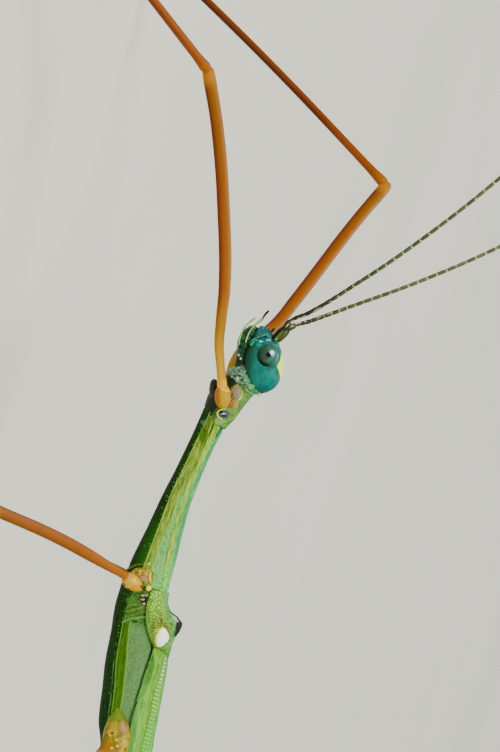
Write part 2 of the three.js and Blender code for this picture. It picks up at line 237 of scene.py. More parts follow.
# ---- modelling words
def deselectAll():
    if bpy.context.object and bpy.context.object.mode == "EDIT":
        bpy.ops.object.mode_set(mode="OBJECT")
    bpy.ops.object.select_all(action="DESELECT")


def choose(piece):
    deselectAll()
    piece.select_set(True)
    bpy.context.view_layer.objects.active = piece


def finishWith(piece, kind, **settings):
    choose(piece)
    modifier = piece.modifiers.new(kind.title(), kind)
    for name, value in settings.items():
        setattr(modifier, name, value)
    bpy.ops.object.modifier_apply(modifier=modifier.name)


def smoothen(piece, levels):
    finishWith(piece, "SUBSURF", levels=levels, render_levels=levels)


def pointsOf(piece):
    flat = np.empty(len(piece.data.vertices) * 3)
    piece.data.vertices.foreach_get("co", flat)
    return flat.reshape(-1, 3)


def putPoints(piece, points):
    piece.data.vertices.foreach_set("co", np.asarray(points, float).ravel())
    piece.data.update()


def normalsOf(piece):
    flat = np.empty(len(piece.data.vertices) * 3)
    piece.data.vertex_normals.foreach_get("vector", flat)
    return flat.reshape(-1, 3)


def press(piece, amounts):
    # moves each point out along its normal by its own amount, in millimetres
    putPoints(piece, pointsOf(piece) + normalsOf(piece) * np.asarray(amounts)[:, None])


def mark(piece, name, values):
    layer = piece.data.attributes.get(name) or piece.data.attributes.new(name, "FLOAT", "POINT")
    layer.data.foreach_set("value", np.asarray(values, np.float32))


def marks(piece, name):
    values = np.empty(len(piece.data.vertices), np.float32)
    piece.data.attributes[name].data.foreach_get("value", values)
    return values


def roughen(piece, size, strength, kind="CLOUDS"):
    texture = bpy.data.textures.new(piece.name + "Grain", kind)
    texture.noise_scale = size
    finishWith(piece, "DISPLACE", texture=texture, texture_coords="LOCAL", strength=strength, mid_level=0.5)


def ease(value, low, high):
    share = np.clip((value - low) / (high - low), 0, 1)
    return share * share * (3 - 2 * share)


def bell(value, middle, half):
    return np.exp(-(((value - middle) / half) ** 2))


def rowsAt(rows, place):
    # the row at each place, from 0 at the first row to 1 at the last, on a smooth curve through all
    table = np.asarray(rows, float)
    last = len(table) - 1
    at = np.clip(np.asarray(place, float), 0, 1) * last
    before = np.minimum(np.floor(at), last - 1).astype(int)
    share = (at - before)[..., None]
    previous, start, end, following = (table[np.clip(before + step, 0, last)] for step in (-1, 0, 1, 2))
    leaving = (end - previous) / 2
    arriving = (following - start) / 2
    cubic = 2 * start - 2 * end + leaving + arriving
    square = -3 * start + 3 * end - 2 * leaving - arriving
    return ((cubic * share + square) * share + leaving) * share + start


def valueAt(rows, x):
    # the value at x of a smooth curve through [x, value] rows
    table = np.asarray(rows, float)
    last = len(table) - 1
    x = np.asarray(x, float)
    before = np.clip(np.searchsorted(table[:, 0], x) - 1, 0, last - 1)
    share = np.clip((x - table[before, 0]) / (table[before + 1, 0] - table[before, 0]), 0, 1)
    return rowsAt(table, (before + share) / last)[..., 1]


def hoopTube(name, around, hoops):
    # a closed tube through hoops of (centre, half width, half height, lean), each extruded from the last
    deselectAll()
    bpy.ops.mesh.primitive_circle_add(
        vertices=around, radius=1, fill_type="NGON", rotation=(0, math.pi / 2, 0),
    )
    piece = bpy.context.object
    piece.name = name
    bpy.ops.object.transform_apply(location=False, rotation=True, scale=False)
    bpy.ops.object.mode_set(mode="EDIT")
    bpy.ops.mesh.select_all(action="SELECT")
    centre, half, tall, lean = Vector((0, 0, 0)), 1, 1, 0
    for number, (nextCentre, nextHalf, nextTall, nextLean) in enumerate(hoops):
        if number:
            bpy.ops.mesh.extrude_region_move()
        if lean:
            bpy.ops.transform.rotate(value=lean, orient_axis="Y", center_override=centre)
        growth = (1, nextHalf / half, nextTall / tall)
        bpy.ops.transform.resize(value=growth, center_override=centre)
        if nextLean:
            bpy.ops.transform.rotate(value=-nextLean, orient_axis="Y", center_override=centre)
        bpy.ops.transform.translate(value=Vector(nextCentre) - centre)
        centre, half, tall, lean = Vector(nextCentre), nextHalf, nextTall, nextLean
    bpy.ops.mesh.select_all(action="SELECT")
    bpy.ops.mesh.normals_make_consistent(inside=False)
    bpy.ops.object.mode_set(mode="OBJECT")
    return piece


def leaningHoops(rows, count):
    # hoops through rows of [top x, top z, bottom x, bottom z, half width]
    hoops = []
    for topX, topZ, bottomX, bottomZ, half in rowsAt(rows, np.linspace(0, 1, count)):
        centre = Vector(((topX + bottomX) / 2, 0, (topZ + bottomZ) / 2))
        tall = math.hypot(topX - bottomX, topZ - bottomZ) / 2
        hoops.append((centre, half, tall, math.atan2(topX - bottomX, topZ - bottomZ)))
    return hoops


def settle(piece, slot, finish, *nodes, angle=50):
    # a finished piece goes into the frame, rides on the body and takes the place of its solids
    choose(piece)
    piece.data.transform(Matrix.Translation(frameShift) @ Matrix.Scale(layout["unit"], 4))
    piece.data.materials.clear()
    piece.data.materials.append(finish)
    bpy.ops.object.shade_smooth_by_angle(angle=math.radians(angle))
    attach(piece, "root")
    if nodes:
        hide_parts(*nodes)
    print("piece:", piece.name, len(piece.data.polygons))
    return piece


def pathDistance(points, path):
    # how far each point is from a path of straight lines, seen from the side
    flat = points[:, (0, 2)]
    nearest = np.full(len(points), 1e9)
    for start, end in zip(path, path[1:]):
        start, step = np.array(start), np.array(end) - np.array(start)
        share = np.clip(((flat - start) @ step) / (step @ step), 0, 1)
        nearest = np.minimum(nearest, np.linalg.norm(flat - start - share[:, None] * step, axis=1))
    return nearest


# ---- trunk: shape
thorax = {
    "around": 36,
    "squareness": 0.035,
    # hoops as [top x, top z, bottom x, bottom z, half width]
    "prothorax": [
        [-2.45, 18.17, -1.3, 16.44, 0.95], [-1.35, 18.68, -0.7, 16.42, 1.0],
        [-0.4, 19.02, 0.1, 16.55, 1.05], [0.2, 19.28, 0.75, 16.85, 1.02], [0.6, 19.46, 1.35, 17.25, 0.94],
    ],
    "neck": [
        [0.2, 19.3, 0.95, 17.0, 0.9], [0.62, 19.5, 1.5, 17.2, 0.94], [1.1, 19.7, 1.95, 17.6, 0.86],
        [1.5, 19.82, 2.3, 18.0, 0.74],
    ],
    "mesothorax": [
        [-1.5, 18.3, -1.3, 16.44, 0.93], [-2.6, 18.08, -2.6, 16.3, 0.91], [-3.7, 17.85, -3.7, 16.15, 0.9],
        [-5.8, 17.61, -5.8, 15.82, 0.93], [-7.9, 17.46, -7.9, 15.44, 1.0],
        [-10.0, 17.54, -10.0, 15.14, 1.1], [-12.2, 17.66, -12.2, 14.78, 1.34],
        [-13.98, 17.71, -13.98, 14.58, 1.51],
    ],
    "metathorax": [
        [-13.65, 17.7, -13.65, 14.58, 1.5], [-15.6, 17.78, -15.6, 14.58, 1.58],
        [-17.5, 18.05, -17.5, 14.85, 1.64], [-19.4, 18.35, -19.4, 15.05, 1.7],
        [-21.3, 18.6, -21.3, 15.42, 1.7], [-22.4, 18.7, -22.4, 15.6, 1.66],
        [-23.5, 18.84, -23.5, 15.86, 1.6], [-24.4, 18.96, -24.4, 16.26, 1.56],
        [-25.05, 19.08, -25.05, 16.47, 1.54],
    ],
}
# How far round from the top, in degrees, each line of the side lies: [distance behind x = 0, degrees].
sideLines = {
    "sternum": [
        [1, 108], [4.5, 108.5], [7.3, 109], [8.5, 106], [10, 104.5], [12, 101.5], [13.7, 102], [16.4, 111],
        [18.4, 112.5], [19.7, 109.3], [21, 106], [22.5, 104.5], [25, 104], [40, 103], [70, 100],
    ],
    "cream": [
        [1, 80], [3.4, 77], [5, 75], [7, 75.5], [8.8, 74], [9.9, 77.5], [11, 81], [12.2, 81], [13.7, 88],
        [16.3, 95], [17.9, 92], [18.9, 87.5], [20.2, 85.5], [21.5, 84.5], [25, 84], [40, 84], [70, 80],
    ],
    "suture": [
        [1, 72], [2.6, 68.5], [3.5, 64.5], [4.4, 63.5], [5.5, 66], [6.6, 64], [7.6, 60.5], [9.7, 58],
        [10.5, 54.5], [11.8, 48.5], [12.5, 43.5], [13.7, 38], [14.5, 24], [25, 22],
    ],
    "tergum": [
        [1, 38], [4, 38.5], [5.8, 41], [7.5, 40.5], [9, 41.5], [10.3, 38], [11, 34.5], [11.7, 29.5],
        [13.7, 24], [14.5, 14], [25, 12],
    ],
}


def axisOf(rows):
    # the hoops' middle height, half height and half width by x, as rows for valueAt
    table = sorted(
        [(topX + bottomX) / 2, (topZ + bottomZ) / 2, (topZ - bottomZ) / 2, half]
        for topX, topZ, bottomX, bottomZ, half in rows
    )
    return [[[row[0], row[column]] for row in table] for column in (1, 2, 3)]


def roundnessOf(points, rows):
    # the angle round the section as it is drawn, so that a wide section counts like a round one
    middle, tall, half = (valueAt(column, points[:, 0]) for column in axisOf(rows))
    return np.degrees(np.arctan2(np.abs(points[:, 1]) / half, (points[:, 2] - middle) / tall))


def markSides(piece, rows):
    # stripe runs from 0 on the belly to 5 on the back, and is whole on each line of the side
    points = pointsOf(piece)
    behind = -points[:, 0]
    roundness = roundnessOf(points, rows)
    edges = [np.full(len(points), 180.0)]
    edges += [valueAt(sideLines[name], behind) for name in ("sternum", "cream", "suture", "tergum")]
    edges.append(np.zeros(len(points)))
    stripe = np.zeros(len(points))
    for low, high in zip(edges, edges[1:]):
        stripe += np.clip((low - roundness) / (low - high), 0, 1)
    mark(piece, "stripe", stripe)
    mark(piece, "behind", behind)
    return stripe, behind, roundness


def squareOff(piece, rows, amount):
    points = pointsOf(piece)
    roundness = np.radians(roundnessOf(points, rows))
    middle = valueAt(axisOf(rows)[0], points[:, 0])
    grown = 1 + amount * np.sin(2 * roundness) ** 2
    points[:, 1] *= grown
    points[:, 2] = middle + (points[:, 2] - middle) * grown
    putPoints(piece, points)


def trunkPlate(name, rows, rings):
    piece = hoopTube(name, thorax["around"], leaningHoops(rows, rings))
    smoothen(piece, 2)
    squareOff(piece, rows, thorax["squareness"])
    return piece


# ---- trunk: finish
# Lines seen from the side, as (x, z): the pale collar round the middle coxa, the seam across the
# hind thorax and the middle of the arched plate in front of it.
sideMarks = {
    "collar": [
        (-13.2, 14.6), (-13.0, 15.0), (-12.69, 15.33), (-12.45, 15.89), (-12.35, 16.22), (-12.53, 16.52),
        (-13.29, 16.76), (-13.7, 16.78),
    ],
    "hindSeam": [
        (-16.66, 15.5), (-16.53, 15.72), (-16.17, 16.11), (-15.95, 16.6), (-15.76, 17.11), (-15.6, 17.5),
    ],
    "arch": {"middle": (-15.62, 16.3), "reach": (0.5, 0.56)},
    # short folds where the front of the trunk meets the hind edge of the neck shield
    "folds": [
        [(-2.28, 17.52), (-2.63, 17.49), (-3.05, 17.48)], [(-2.03, 17.64), (-2.29, 18.04), (-2.51, 18.36)],
        [(-2.32, 18.05), (-2.62, 17.97), (-3.0, 17.87)],
    ],
    "shieldLine": [(-1.85, 18.18), (-1.46, 18.55), (-1.03, 18.84)],
}
# small marks on the sides, as [x, z, reach along the lean, reach across it, colour, strength]
sideDabs = {
    "mesothorax": [
        [-3.17, 17.09, 0.6, 0.3, (80, 120, 20), 0.8], [-2.81, 17.12, 0.12, 0.12, (120, 80, 30), 0.9],
        [-2.3, 16.85, 0.17, 0.27, (120, 150, 120), 0.6], [-12.35, 16.22, 0.09, 0.09, (240, 235, 160), 0.9],
    ],
    "metathorax": [
        [-15.04, 15.82, 0.37, 0.43, (110, 145, 70), 0.6], [-15.66, 16.08, 0.25, 0.3, (110, 140, 50), 0.4],
        [-15.78, 16.48, 0.19, 0.21, (60, 80, 20), 0.5], [-15.34, 16.66, 0.27, 0.19, (130, 130, 80), 0.6],
        [-15.61, 17.01, 0.12, 0.1, (15, 25, 5), 0.9], [-14.66, 16.56, 0.42, 0.28, (26, 34, 8), 0.9],
        [-16.26, 16.49, 0.11, 0.21, (25, 40, 10), 0.7],
    ],
}


def leaning(x, z):
    # how far along the line from the feet to the head, and across it
    cosine, sine = layout["leanCosine"], layout["leanSine"]
    return x * cosine - z * sine, x * sine + z * cosine


def dabbed(paint, colour, dabs):
    # lays small ragged marks over a colour
    x, _, z = paint.xyz()
    along, across = leaning(x, z)
    blur = (paint.noise(9, 2) - 0.5) * 0.5
    for markX, markZ, reachAlong, reachAcross, shade, strength in dabs:
        middleAlong, middleAcross = leaning(markX, markZ)
        away = ((along - middleAlong) / reachAlong) ** 2 + ((across - middleAcross) / reachAcross) ** 2
        share = 1 - (away**0.5 + blur).rising(0.55, 1.2)
        colour = paint.mix(colour, shade, share * strength)
    return colour


trunkTones = {
    "mesothorax": {
        "olive": ((124, 142, 72), (164, 178, 106)),
        "grey": ((136, 172, 116), (160, 192, 144)),
        "third": ((140, 168, 84), (186, 192, 130)),
        "line": (170, 186, 116),
    },
    "metathorax": {
        "olive": ((76, 112, 16), (104, 136, 48)),
        "grey": ((112, 142, 94), (134, 160, 114)),
        "third": ((128, 160, 96), (150, 178, 120)),
        "line": (150, 182, 108),
    },
}


def trunkPaint(name, stripeStart=-5.0):
    # stripeStart is how far behind x = 0 the bright stripe begins
    paint, tones = Paint(name + "Green"), trunkTones[name]
    stripe, behind = paint.marked("stripe"), paint.marked("behind")
    fine = paint.noise(7.0, 3)
    streak = paint.noise(1.0, 3, paint.stretched((1.2, 9, 9)))
    band = stripe + (streak - 0.5) * 0.1
    edge = behind.rising(stripeStart, stripeStart + 0.4)
    glint = stripe.line(0.9, 0.014) * behind.rising(17.8, 18.8) * streak.rising(0.35, 0.55)
    # the belly is painted near black, partly its own dark green and partly painted shade on the underside
    belly = paint.coats(
        (4, 26, 0),
        ((24, 62, 4), (streak * 0.6 + fine * 0.4).rising(0.38, 0.62)),
        ((58, 118, 22), band.rising(0.45, 0.95) * behind.line(11.4, 1.8, 0.6)),
        ((34, 86, 8), band.rising(0.3, 0.9) * streak.rising(0.25, 0.5) * 0.6),
        ((150, 180, 140), glint * 0.5),
    )
    olive = streak.tint(tones["olive"][0], tones["olive"][1])
    early = streak.tint((110, 134, 50), (150, 168, 84))
    grey = fine.tint(tones["grey"][0], tones["grey"][1], 0.35, 0.7)
    grey = paint.mix(early, grey, behind.rising(6.2, 8.0))
    third = streak.tint(tones["third"][0], tones["third"][1], 0.35, 0.7)
    # fine lines that run along the body
    hair = paint.noise(1.0, 2, paint.stretched((0.5, 22, 22)))
    back = streak.tint((84, 152, 98), (118, 184, 130), 0.3, 0.75)
    shade = fine.tint((70, 104, 44), (112, 144, 76))
    olive = paint.mix(olive, (70, 104, 20), behind.falling(2.6, 4.6) * 0.7)
    near = behind.rising(11.2, 13.2) * behind.falling(13.9, 14.0)
    freckle = fine.tint((122, 166, 90), (176, 206, 148), 0.4, 0.6)
    lined = edge * behind.falling(11.5, 13.0)
    colour = paint.coats(
        shade,
        (paint.mix(olive, grey, band.rising(1.95, 2.1)), edge),
        (third, band.rising(2.97, 3.1)),
        (back, band.rising(3.85, 4.05)),
        (freckle, near * band.rising(2.8, 3.1) * 0.8),
        ((206, 212, 150), hair.rising(0.58, 0.66) * lined * 0.5),
        ((78, 104, 34), hair.falling(0.34, 0.42) * lined * 0.45),
    )
    grain = paint.cells(9.0)
    speckle = grain.falling(0.05, 0.2) * paint.noise(2.2).rising(0.5, 0.62)
    colour = paint.coats(
        belly,
        (colour, band.rising(0.95, 1.05)),
        (tones["line"], stripe.line(1.03, 0.04) * 0.55 * edge * fine.rising(0.2, 0.45)),
        ((58, 70, 14), stripe.line(1.2, 0.04) * fine.rising(0.42, 0.55) * 0.8 * edge),
        (tones["line"], stripe.line(2.0, 0.05) * 0.55 * edge * fine.rising(0.2, 0.45)),
        ((30, 64, 18), stripe.line(2.96, 0.05) * fine.rising(0.3, 0.5) * (1 - near) * 0.8),
        ((140, 196, 146), stripe.line(4.06, 0.05) * 0.7),
        ((206, 224, 180), speckle * band.rising(1.0, 1.2) * 0.3),
    )
    return paint, dabbed(paint, colour, sideDabs[name]), fine * 0.6 + grain.rising(0, 0.5) * 0.4, fine


def buildProthorax():
    rows = thorax["prothorax"]
    piece = trunkPlate("prothorax", rows, 20)
    stripe, _, roundness = markSides(piece, rows)
    ridge = pathDistance(pointsOf(piece), sideMarks["shieldLine"])
    mark(piece, "ridge", ridge)
    press(piece, bell(ridge, 0, 0.07) * 0.03 - bell(roundness, 0, 4.0) * 0.04)
    roughen(piece, 0.3, 0.04)
    paint = Paint("prothoraxGreen")
    stripe, ridge = paint.marked("stripe"), paint.marked("ridge")
    fine, cloud = paint.noise(7, 3), paint.noise(1.8, 3)
    back = cloud.tint((112, 138, 70), (146, 166, 100))
    hair = paint.noise(1.0, 2, paint.stretched((0.6, 16, 16)))
    back = paint.coats(
        back,
        ((92, 148, 84), stripe.rising(4.2, 4.9)),
        ((176, 192, 132), hair.rising(0.56, 0.64) * 0.6),
        ((84, 116, 56), hair.falling(0.36, 0.44) * 0.6),
    )
    side = paint.mix((78, 112, 50), (150, 156, 104), fine.rising(0.45, 0.7) * cloud.rising(0.3, 0.6))
    # the belly is painted near black, partly its own dark green and partly painted shade on the underside
    belly = fine.tint((10, 28, 0), (28, 58, 8))
    colour = paint.coats(
        paint.mix(belly, side, stripe.rising(1.3, 1.6)),
        (back, stripe.rising(2.6, 3.1)),
        ((158, 188, 112), ridge.falling(0.02, 0.05) * 0.6),
    )
    finish = paint.surface(colour, 0.45, fine, 0.03, gloss=0.15)
    settle(piece, "trunk_shell", finish, "prothorax")


def buildMesothorax():
    rows = thorax["mesothorax"]
    piece = trunkPlate("mesothorax", rows, 54)
    stripe, _, roundness = markSides(piece, rows)
    points = pointsOf(piece)
    collar = pathDistance(points, sideMarks["collar"])
    fold = np.min([pathDistance(points, path) for path in sideMarks["folds"]], axis=0)
    mark(piece, "collar", collar)
    mark(piece, "fold", fold)
    ridge = bell(stripe, 1.03, 0.07) * 0.045 + bell(stripe, 2.0, 0.08) * 0.035 - bell(fold, 0, 0.06) * 0.05
    ridge += bell(stripe, 3.95, 0.1) * 0.02 - bell(stripe, 2.96, 0.07) * 0.045
    ridge -= bell(roundness, 0, 3.0) * 0.03
    ridge += bell(collar, 0, 0.07) * 0.03 - bell(collar, 0.18, 0.1) * 0.03
    press(piece, ridge)
    roughen(piece, 0.25, 0.025)
    paint, colour, height, fine = trunkPaint("mesothorax")
    collar, fold = paint.marked("collar"), paint.marked("fold")
    colour = paint.coats(
        colour,
        ((164, 176, 104), collar.falling(0.02, 0.06) * fine.rising(0.3, 0.5) * 0.6),
        ((30, 56, 14), fold.falling(0.02, 0.07) * 0.8),
    )
    finish = paint.surface(colour, 0.45 + fine * 0.15, height, 0.025, gloss=0.04)
    settle(piece, "trunk_shell", finish, "mesothorax")


def buildMetathorax():
    # the hind thorax and the first ring of the abdomen are one shell
    rows = thorax["metathorax"]
    piece = trunkPlate("metathorax", rows, 46)
    stripe, behind, _ = markSides(piece, rows)
    points = pointsOf(piece)
    seam = pathDistance(points, sideMarks["hindSeam"])
    middle, reach = sideMarks["arch"]["middle"], sideMarks["arch"]["reach"]
    arch = np.hypot((points[:, 0] - middle[0]) / reach[0], (points[:, 2] - middle[1]) / reach[1])
    mark(piece, "seam", seam)
    ridge = bell(stripe, 1.03, 0.06) * 0.05 + bell(stripe, 2.0, 0.07) * 0.05 * ease(behind, 16.3, 16.8)
    ridge -= bell(stripe, 1.5, 0.25) * 0.04 * ease(behind, 16.3, 16.8)
    ridge += bell(stripe, 0.9, 0.035) * 0.03 * ease(behind, 17.8, 18.8)
    ridge += bell(seam, 0, 0.08) * 0.05 - bell(seam, 0.2, 0.1) * 0.03
    ridge += ease(arch, 1.1, 0.6) * 0.03
    along, across = leaning(points[:, 0], points[:, 2])
    pleat = np.sin((along * 0.96 - across * 0.27) * 19) * ease(arch, 1.5, 0.9)
    mark(piece, "pleat", pleat)
    ridge += pleat * 0.025
    press(piece, ridge)
    roughen(piece, 0.25, 0.03)
    paint, colour, height, fine = trunkPaint("metathorax", 16.2)
    seam, pleat, stripe = paint.marked("seam"), paint.marked("pleat"), paint.marked("stripe")
    onSide = stripe.rising(0.95, 1.2) * fine.rising(0.25, 0.5)
    colour = paint.coats(
        colour,
        ((156, 178, 110), pleat.rising(0.35, 0.9) * onSide * 0.6),
        ((48, 78, 24), (0 - pleat).rising(0.35, 0.9) * onSide * 0.6),
        ((142, 172, 112), seam.falling(0.02, 0.1) * stripe.rising(0.9, 1.1) * 0.8),
    )
    finish = paint.surface(colour, 0.45 + fine * 0.15, height, 0.025, gloss=0.04)
    settle(piece, "trunk_shell", finish, "metathorax", "median_segment")


# ---- limbs
def routeCurve(points):
    # a smooth curve through points, for a straight limb to be bent along
    deselectAll()
    bpy.ops.curve.primitive_bezier_curve_add()
    curve = bpy.context.object
    curve.data.dimensions = "3D"
    curve.data.twist_mode = "Z_UP"
    curve.data.resolution_u = 24
    spline = curve.data.splines[0]
    spline.bezier_points.add(len(points) - 2)
    for knot, point in zip(spline.bezier_points, points):
        knot.co = point
        knot.handle_left_type = "AUTO"
        knot.handle_right_type = "AUTO"
    bpy.context.view_layer.update()
    return curve, spline.calc_length()


def bendAlong(piece, curve):
    finishWith(piece, "CURVE", object=curve, deform_axis="POS_X")
    bpy.data.objects.remove(curve)


def limbTube(name, around, route, rows, levels=1, rings=None, relief=None):
    # a limb along a route, with girth rows of [place, half width, half height, lift]
    curve, length = routeCurve(route)
    table = [row if len(row) > 3 else [*row, 0] for row in rows]
    places = [row[0] for row in table] if rings is None else np.linspace(0, 1, rings)
    hoops = []
    for place in places:
        half, tall, lift = (valueAt([[row[0], row[column]] for row in table], place) for column in (1, 2, 3))
        hoops.append((Vector((place * length, 0, lift)), float(half), float(tall), 0))
    piece = hoopTube(name, around, hoops)
    smoothen(piece, levels)
    points = pointsOf(piece)
    mark(piece, "along", points[:, 0] / length)
    lifts = valueAt([[row[0], row[3]] for row in table], points[:, 0] / length)
    mark(piece, "turn", np.degrees(np.arctan2(np.abs(points[:, 1]), points[:, 2] - lifts)) / 180)
    if relief:
        press(piece, relief(points, points[:, 0] / length))
    bendAlong(piece, curve)
    return piece


def joinInto(first, *others):
    choose(first)
    for other in others:
        other.select_set(True)
    bpy.ops.object.join()
    return first


def ball(name, centre, radii, around=32, rings=20, turn=(0, 0, 0)):
    deselectAll()
    bpy.ops.mesh.primitive_uv_sphere_add(
        segments=around, ring_count=rings, radius=1, location=centre, rotation=turn, scale=radii,
    )
    piece = bpy.context.object
    piece.name = name
    bpy.ops.object.transform_apply(location=True, rotation=True, scale=True)
    return piece


buildProthorax()
buildMesothorax()
buildMetathorax()


# ---- head
head = {
    "around": 40,
    "rings": 34,
    "hoops": [
        [0.6, 19.72, 0.78, 19.24, 0.32], [0.86, 20.22, 1.15, 18.72, 0.84], [1.4, 20.68, 1.68, 18.28, 1.12],
        [2.25, 20.82, 2.4, 18.02, 1.22], [3.2, 20.64, 3.1, 17.93, 1.22], [3.84, 20.26, 3.64, 18.04, 1.12],
        [4.3, 19.78, 4.18, 18.2, 0.95], [4.76, 19.34, 4.62, 18.32, 0.76], [5.04, 18.88, 4.98, 18.44, 0.46],
    ],
    "antennaSocket": Vector((4.28, 0.5, 19.68)),
    # the furrow between cheek and face shield, seen from the side as (x, z)
    "faceFurrow": [(3.3, 17.9), (3.47, 18.11), (3.79, 18.24), (4.08, 18.63), (4.33, 18.96), (4.5, 19.2)],
    # half the width of the yellow patch on the crown, by x
    "crownPatch": [
        [1.85, -0.12], [2.0, 0.1], [2.25, 0.38], [2.55, 0.64], [2.75, 0.74], [2.95, 0.66], [3.3, 0.46],
        [3.55, 0.3], [3.75, -0.12],
    ],
    # small marks on the face; the two whitish ones at x 3.97 and x 4.21 are painted highlights
    "dabs": [
        [2.05, 20.35, 0.22, 0.33, (25, 155, 140), 0.5], [0.7, 19.89, 0.12, 0.2, (0, 40, 15), 0.8],
        [3.61, 18.38, 0.11, 0.11, (150, 200, 180), 0.7], [3.78, 18.47, 0.1, 0.11, (150, 200, 180), 0.7],
        [3.97, 18.62, 0.09, 0.11, (150, 200, 180), 0.7], [3.71, 18.92, 0.15, 0.21, (60, 170, 150), 0.8],
        [3.97, 18.98, 0.07, 0.17, (190, 235, 225), 0.95], [4.03, 19.42, 0.17, 0.27, (70, 130, 140), 0.8],
        [4.21, 19.43, 0.07, 0.19, (160, 200, 200), 0.8], [4.55, 19.43, 0.3, 0.15, (120, 140, 120), 0.6],
        [4.34, 19.16, 0.08, 0.08, (5, 15, 10), 1], [4.49, 19.13, 0.06, 0.07, (60, 150, 90), 0.7],
    ],
}
eye = {
    "centre": layout["leftEye"] + Vector((0.05, 0, -0.05)),
    "radii": (0.77, 0.7, 0.62),
    "pupil": (3.27, 19.81),
    "glint": (3.46, 20.0),
}


def headPaint():
    paint = Paint("headTeal")
    x, y, z = paint.xyz()
    turn, face, furrow, crown = (paint.marked(name) for name in ("turn", "face", "furrow", "crown"))
    cloud, fine = paint.noise(1.3, 3), paint.noise(11, 3)
    colour = cloud.tint((0, 120, 112), (0, 152, 142))
    shield = fine.tint((26, 112, 120), (84, 144, 142), 0.35, 0.7)
    eyeReach = ((x - eye["centre"].x) ** 2 + (z - eye["centre"].z) ** 2) ** 0.5
    onSide = y.size().rising(0.4, 0.6)
    # a light rim runs round the lower and front half of the eye
    along, across = leaning(x - eye["centre"].x, z - eye["centre"].z)
    lower = (0 - across - along * 0.4).rising(-0.1, 0.4)
    speck = 1 - paint.cells(6.5).rising(0.16, 0.34)
    grain = paint.cells(13)
    colour = paint.coats(
        colour,
        # the underside turns dark green, partly its own colour and partly painted shade
        ((0, 92, 66), (turn + (cloud - 0.5) * 0.08).rising(0.58, 0.72)),
        ((0, 36, 12), (turn + (cloud - 0.5) * 0.06).rising(0.68, 0.82)),
        (shield, face),
        ((90, 176, 156), eyeReach.line(0.77, 0.03) * onSide * lower * cloud.rising(0.3, 0.6) * 0.7),
        ((150, 204, 190), furrow.line(0.03, 0.03) * cloud.rising(0.4, 0.55) * 0.7),
        ((4, 50, 40), furrow.line(-0.04, 0.04) * 0.8),
        ((176, 208, 200), speck * face * paint.noise(2.0).rising(0.42, 0.56) * 0.7),
        ((60, 172, 158), grain.falling(0.1, 0.35) * 0.2),
    )
    colour = dabbed(paint, colour, head["dabs"])
    wavy = crown + (fine - 0.5) * 0.08
    colour = paint.coats(
        colour,
        ((212, 224, 70), wavy.falling(-0.02, 0.05)),
        ((246, 254, 114), wavy.falling(-0.1, -0.03)),
    )
    height = grain.rising(0, 0.6) * 0.5 + fine * 0.5
    # the yellow patch on the crown glows a little, as painted light
    shine = paint.mix((0, 0, 0), (240, 254, 90), wavy.falling(-0.12, -0.02))
    return paint.surface(
        colour, 0.32 + fine * 0.16, height, 0.015, gloss=0.12, Emission_Color=shine, Emission_Strength=0.35,
    )


def buildHeadShell():
    shell = hoopTube("headShell", head["around"], leaningHoops(head["hoops"], head["rings"]))
    smoothen(shell, 2)
    points = pointsOf(shell)
    x, y, z = points.T
    mark(shell, "turn", roundnessOf(points, head["hoops"]) / 180)
    away = pathDistance(points, head["faceFurrow"])
    line = np.array(head["faceFurrow"])
    ahead = x > np.interp(z, line[:, 1], line[:, 0])
    signed = np.where(ahead, away, -away)
    mark(shell, "furrow", signed)
    mark(shell, "face", ease(signed, -0.02, 0.05) * ease(z, 20.1, 19.5))
    mark(shell, "crown", np.where(z > 19.7, np.abs(y) - valueAt(head["crownPatch"], x), 1.0))
    onSide = ease(np.abs(y), 0.35, 0.7)
    eyeReach = np.hypot(x - eye["centre"].x, z - eye["centre"].z)
    relief = (bell(eyeReach, 0.78, 0.05) * 0.025 - ease(eyeReach, 0.76, 0.66) * 0.05) * onSide
    socket = head["antennaSocket"]
    reach = np.sqrt((x - socket.x) ** 2 + (np.abs(y) - socket.y) ** 2 + (z - socket.z) ** 2)
    relief += bell(reach, 0.33, 0.1) * 0.09 - bell(reach, 0, 0.18) * 0.08
    relief -= bell(signed, 0, 0.045) * 0.05
    relief += bell(signed, 0.1, 0.08) * 0.03
    relief -= bell(y, 0, 0.05) * 0.02 * ease(z, 19.8, 20.2)
    relief -= bell(np.abs(y), 0.42, 0.1) * 0.025 * ease(z, 19.9, 20.3) * ease(x, 3.2, 1.2)
    press(shell, relief)
    roughen(shell, 0.5, 0.03)
    settle(shell, "head_shell", headPaint(), "head")


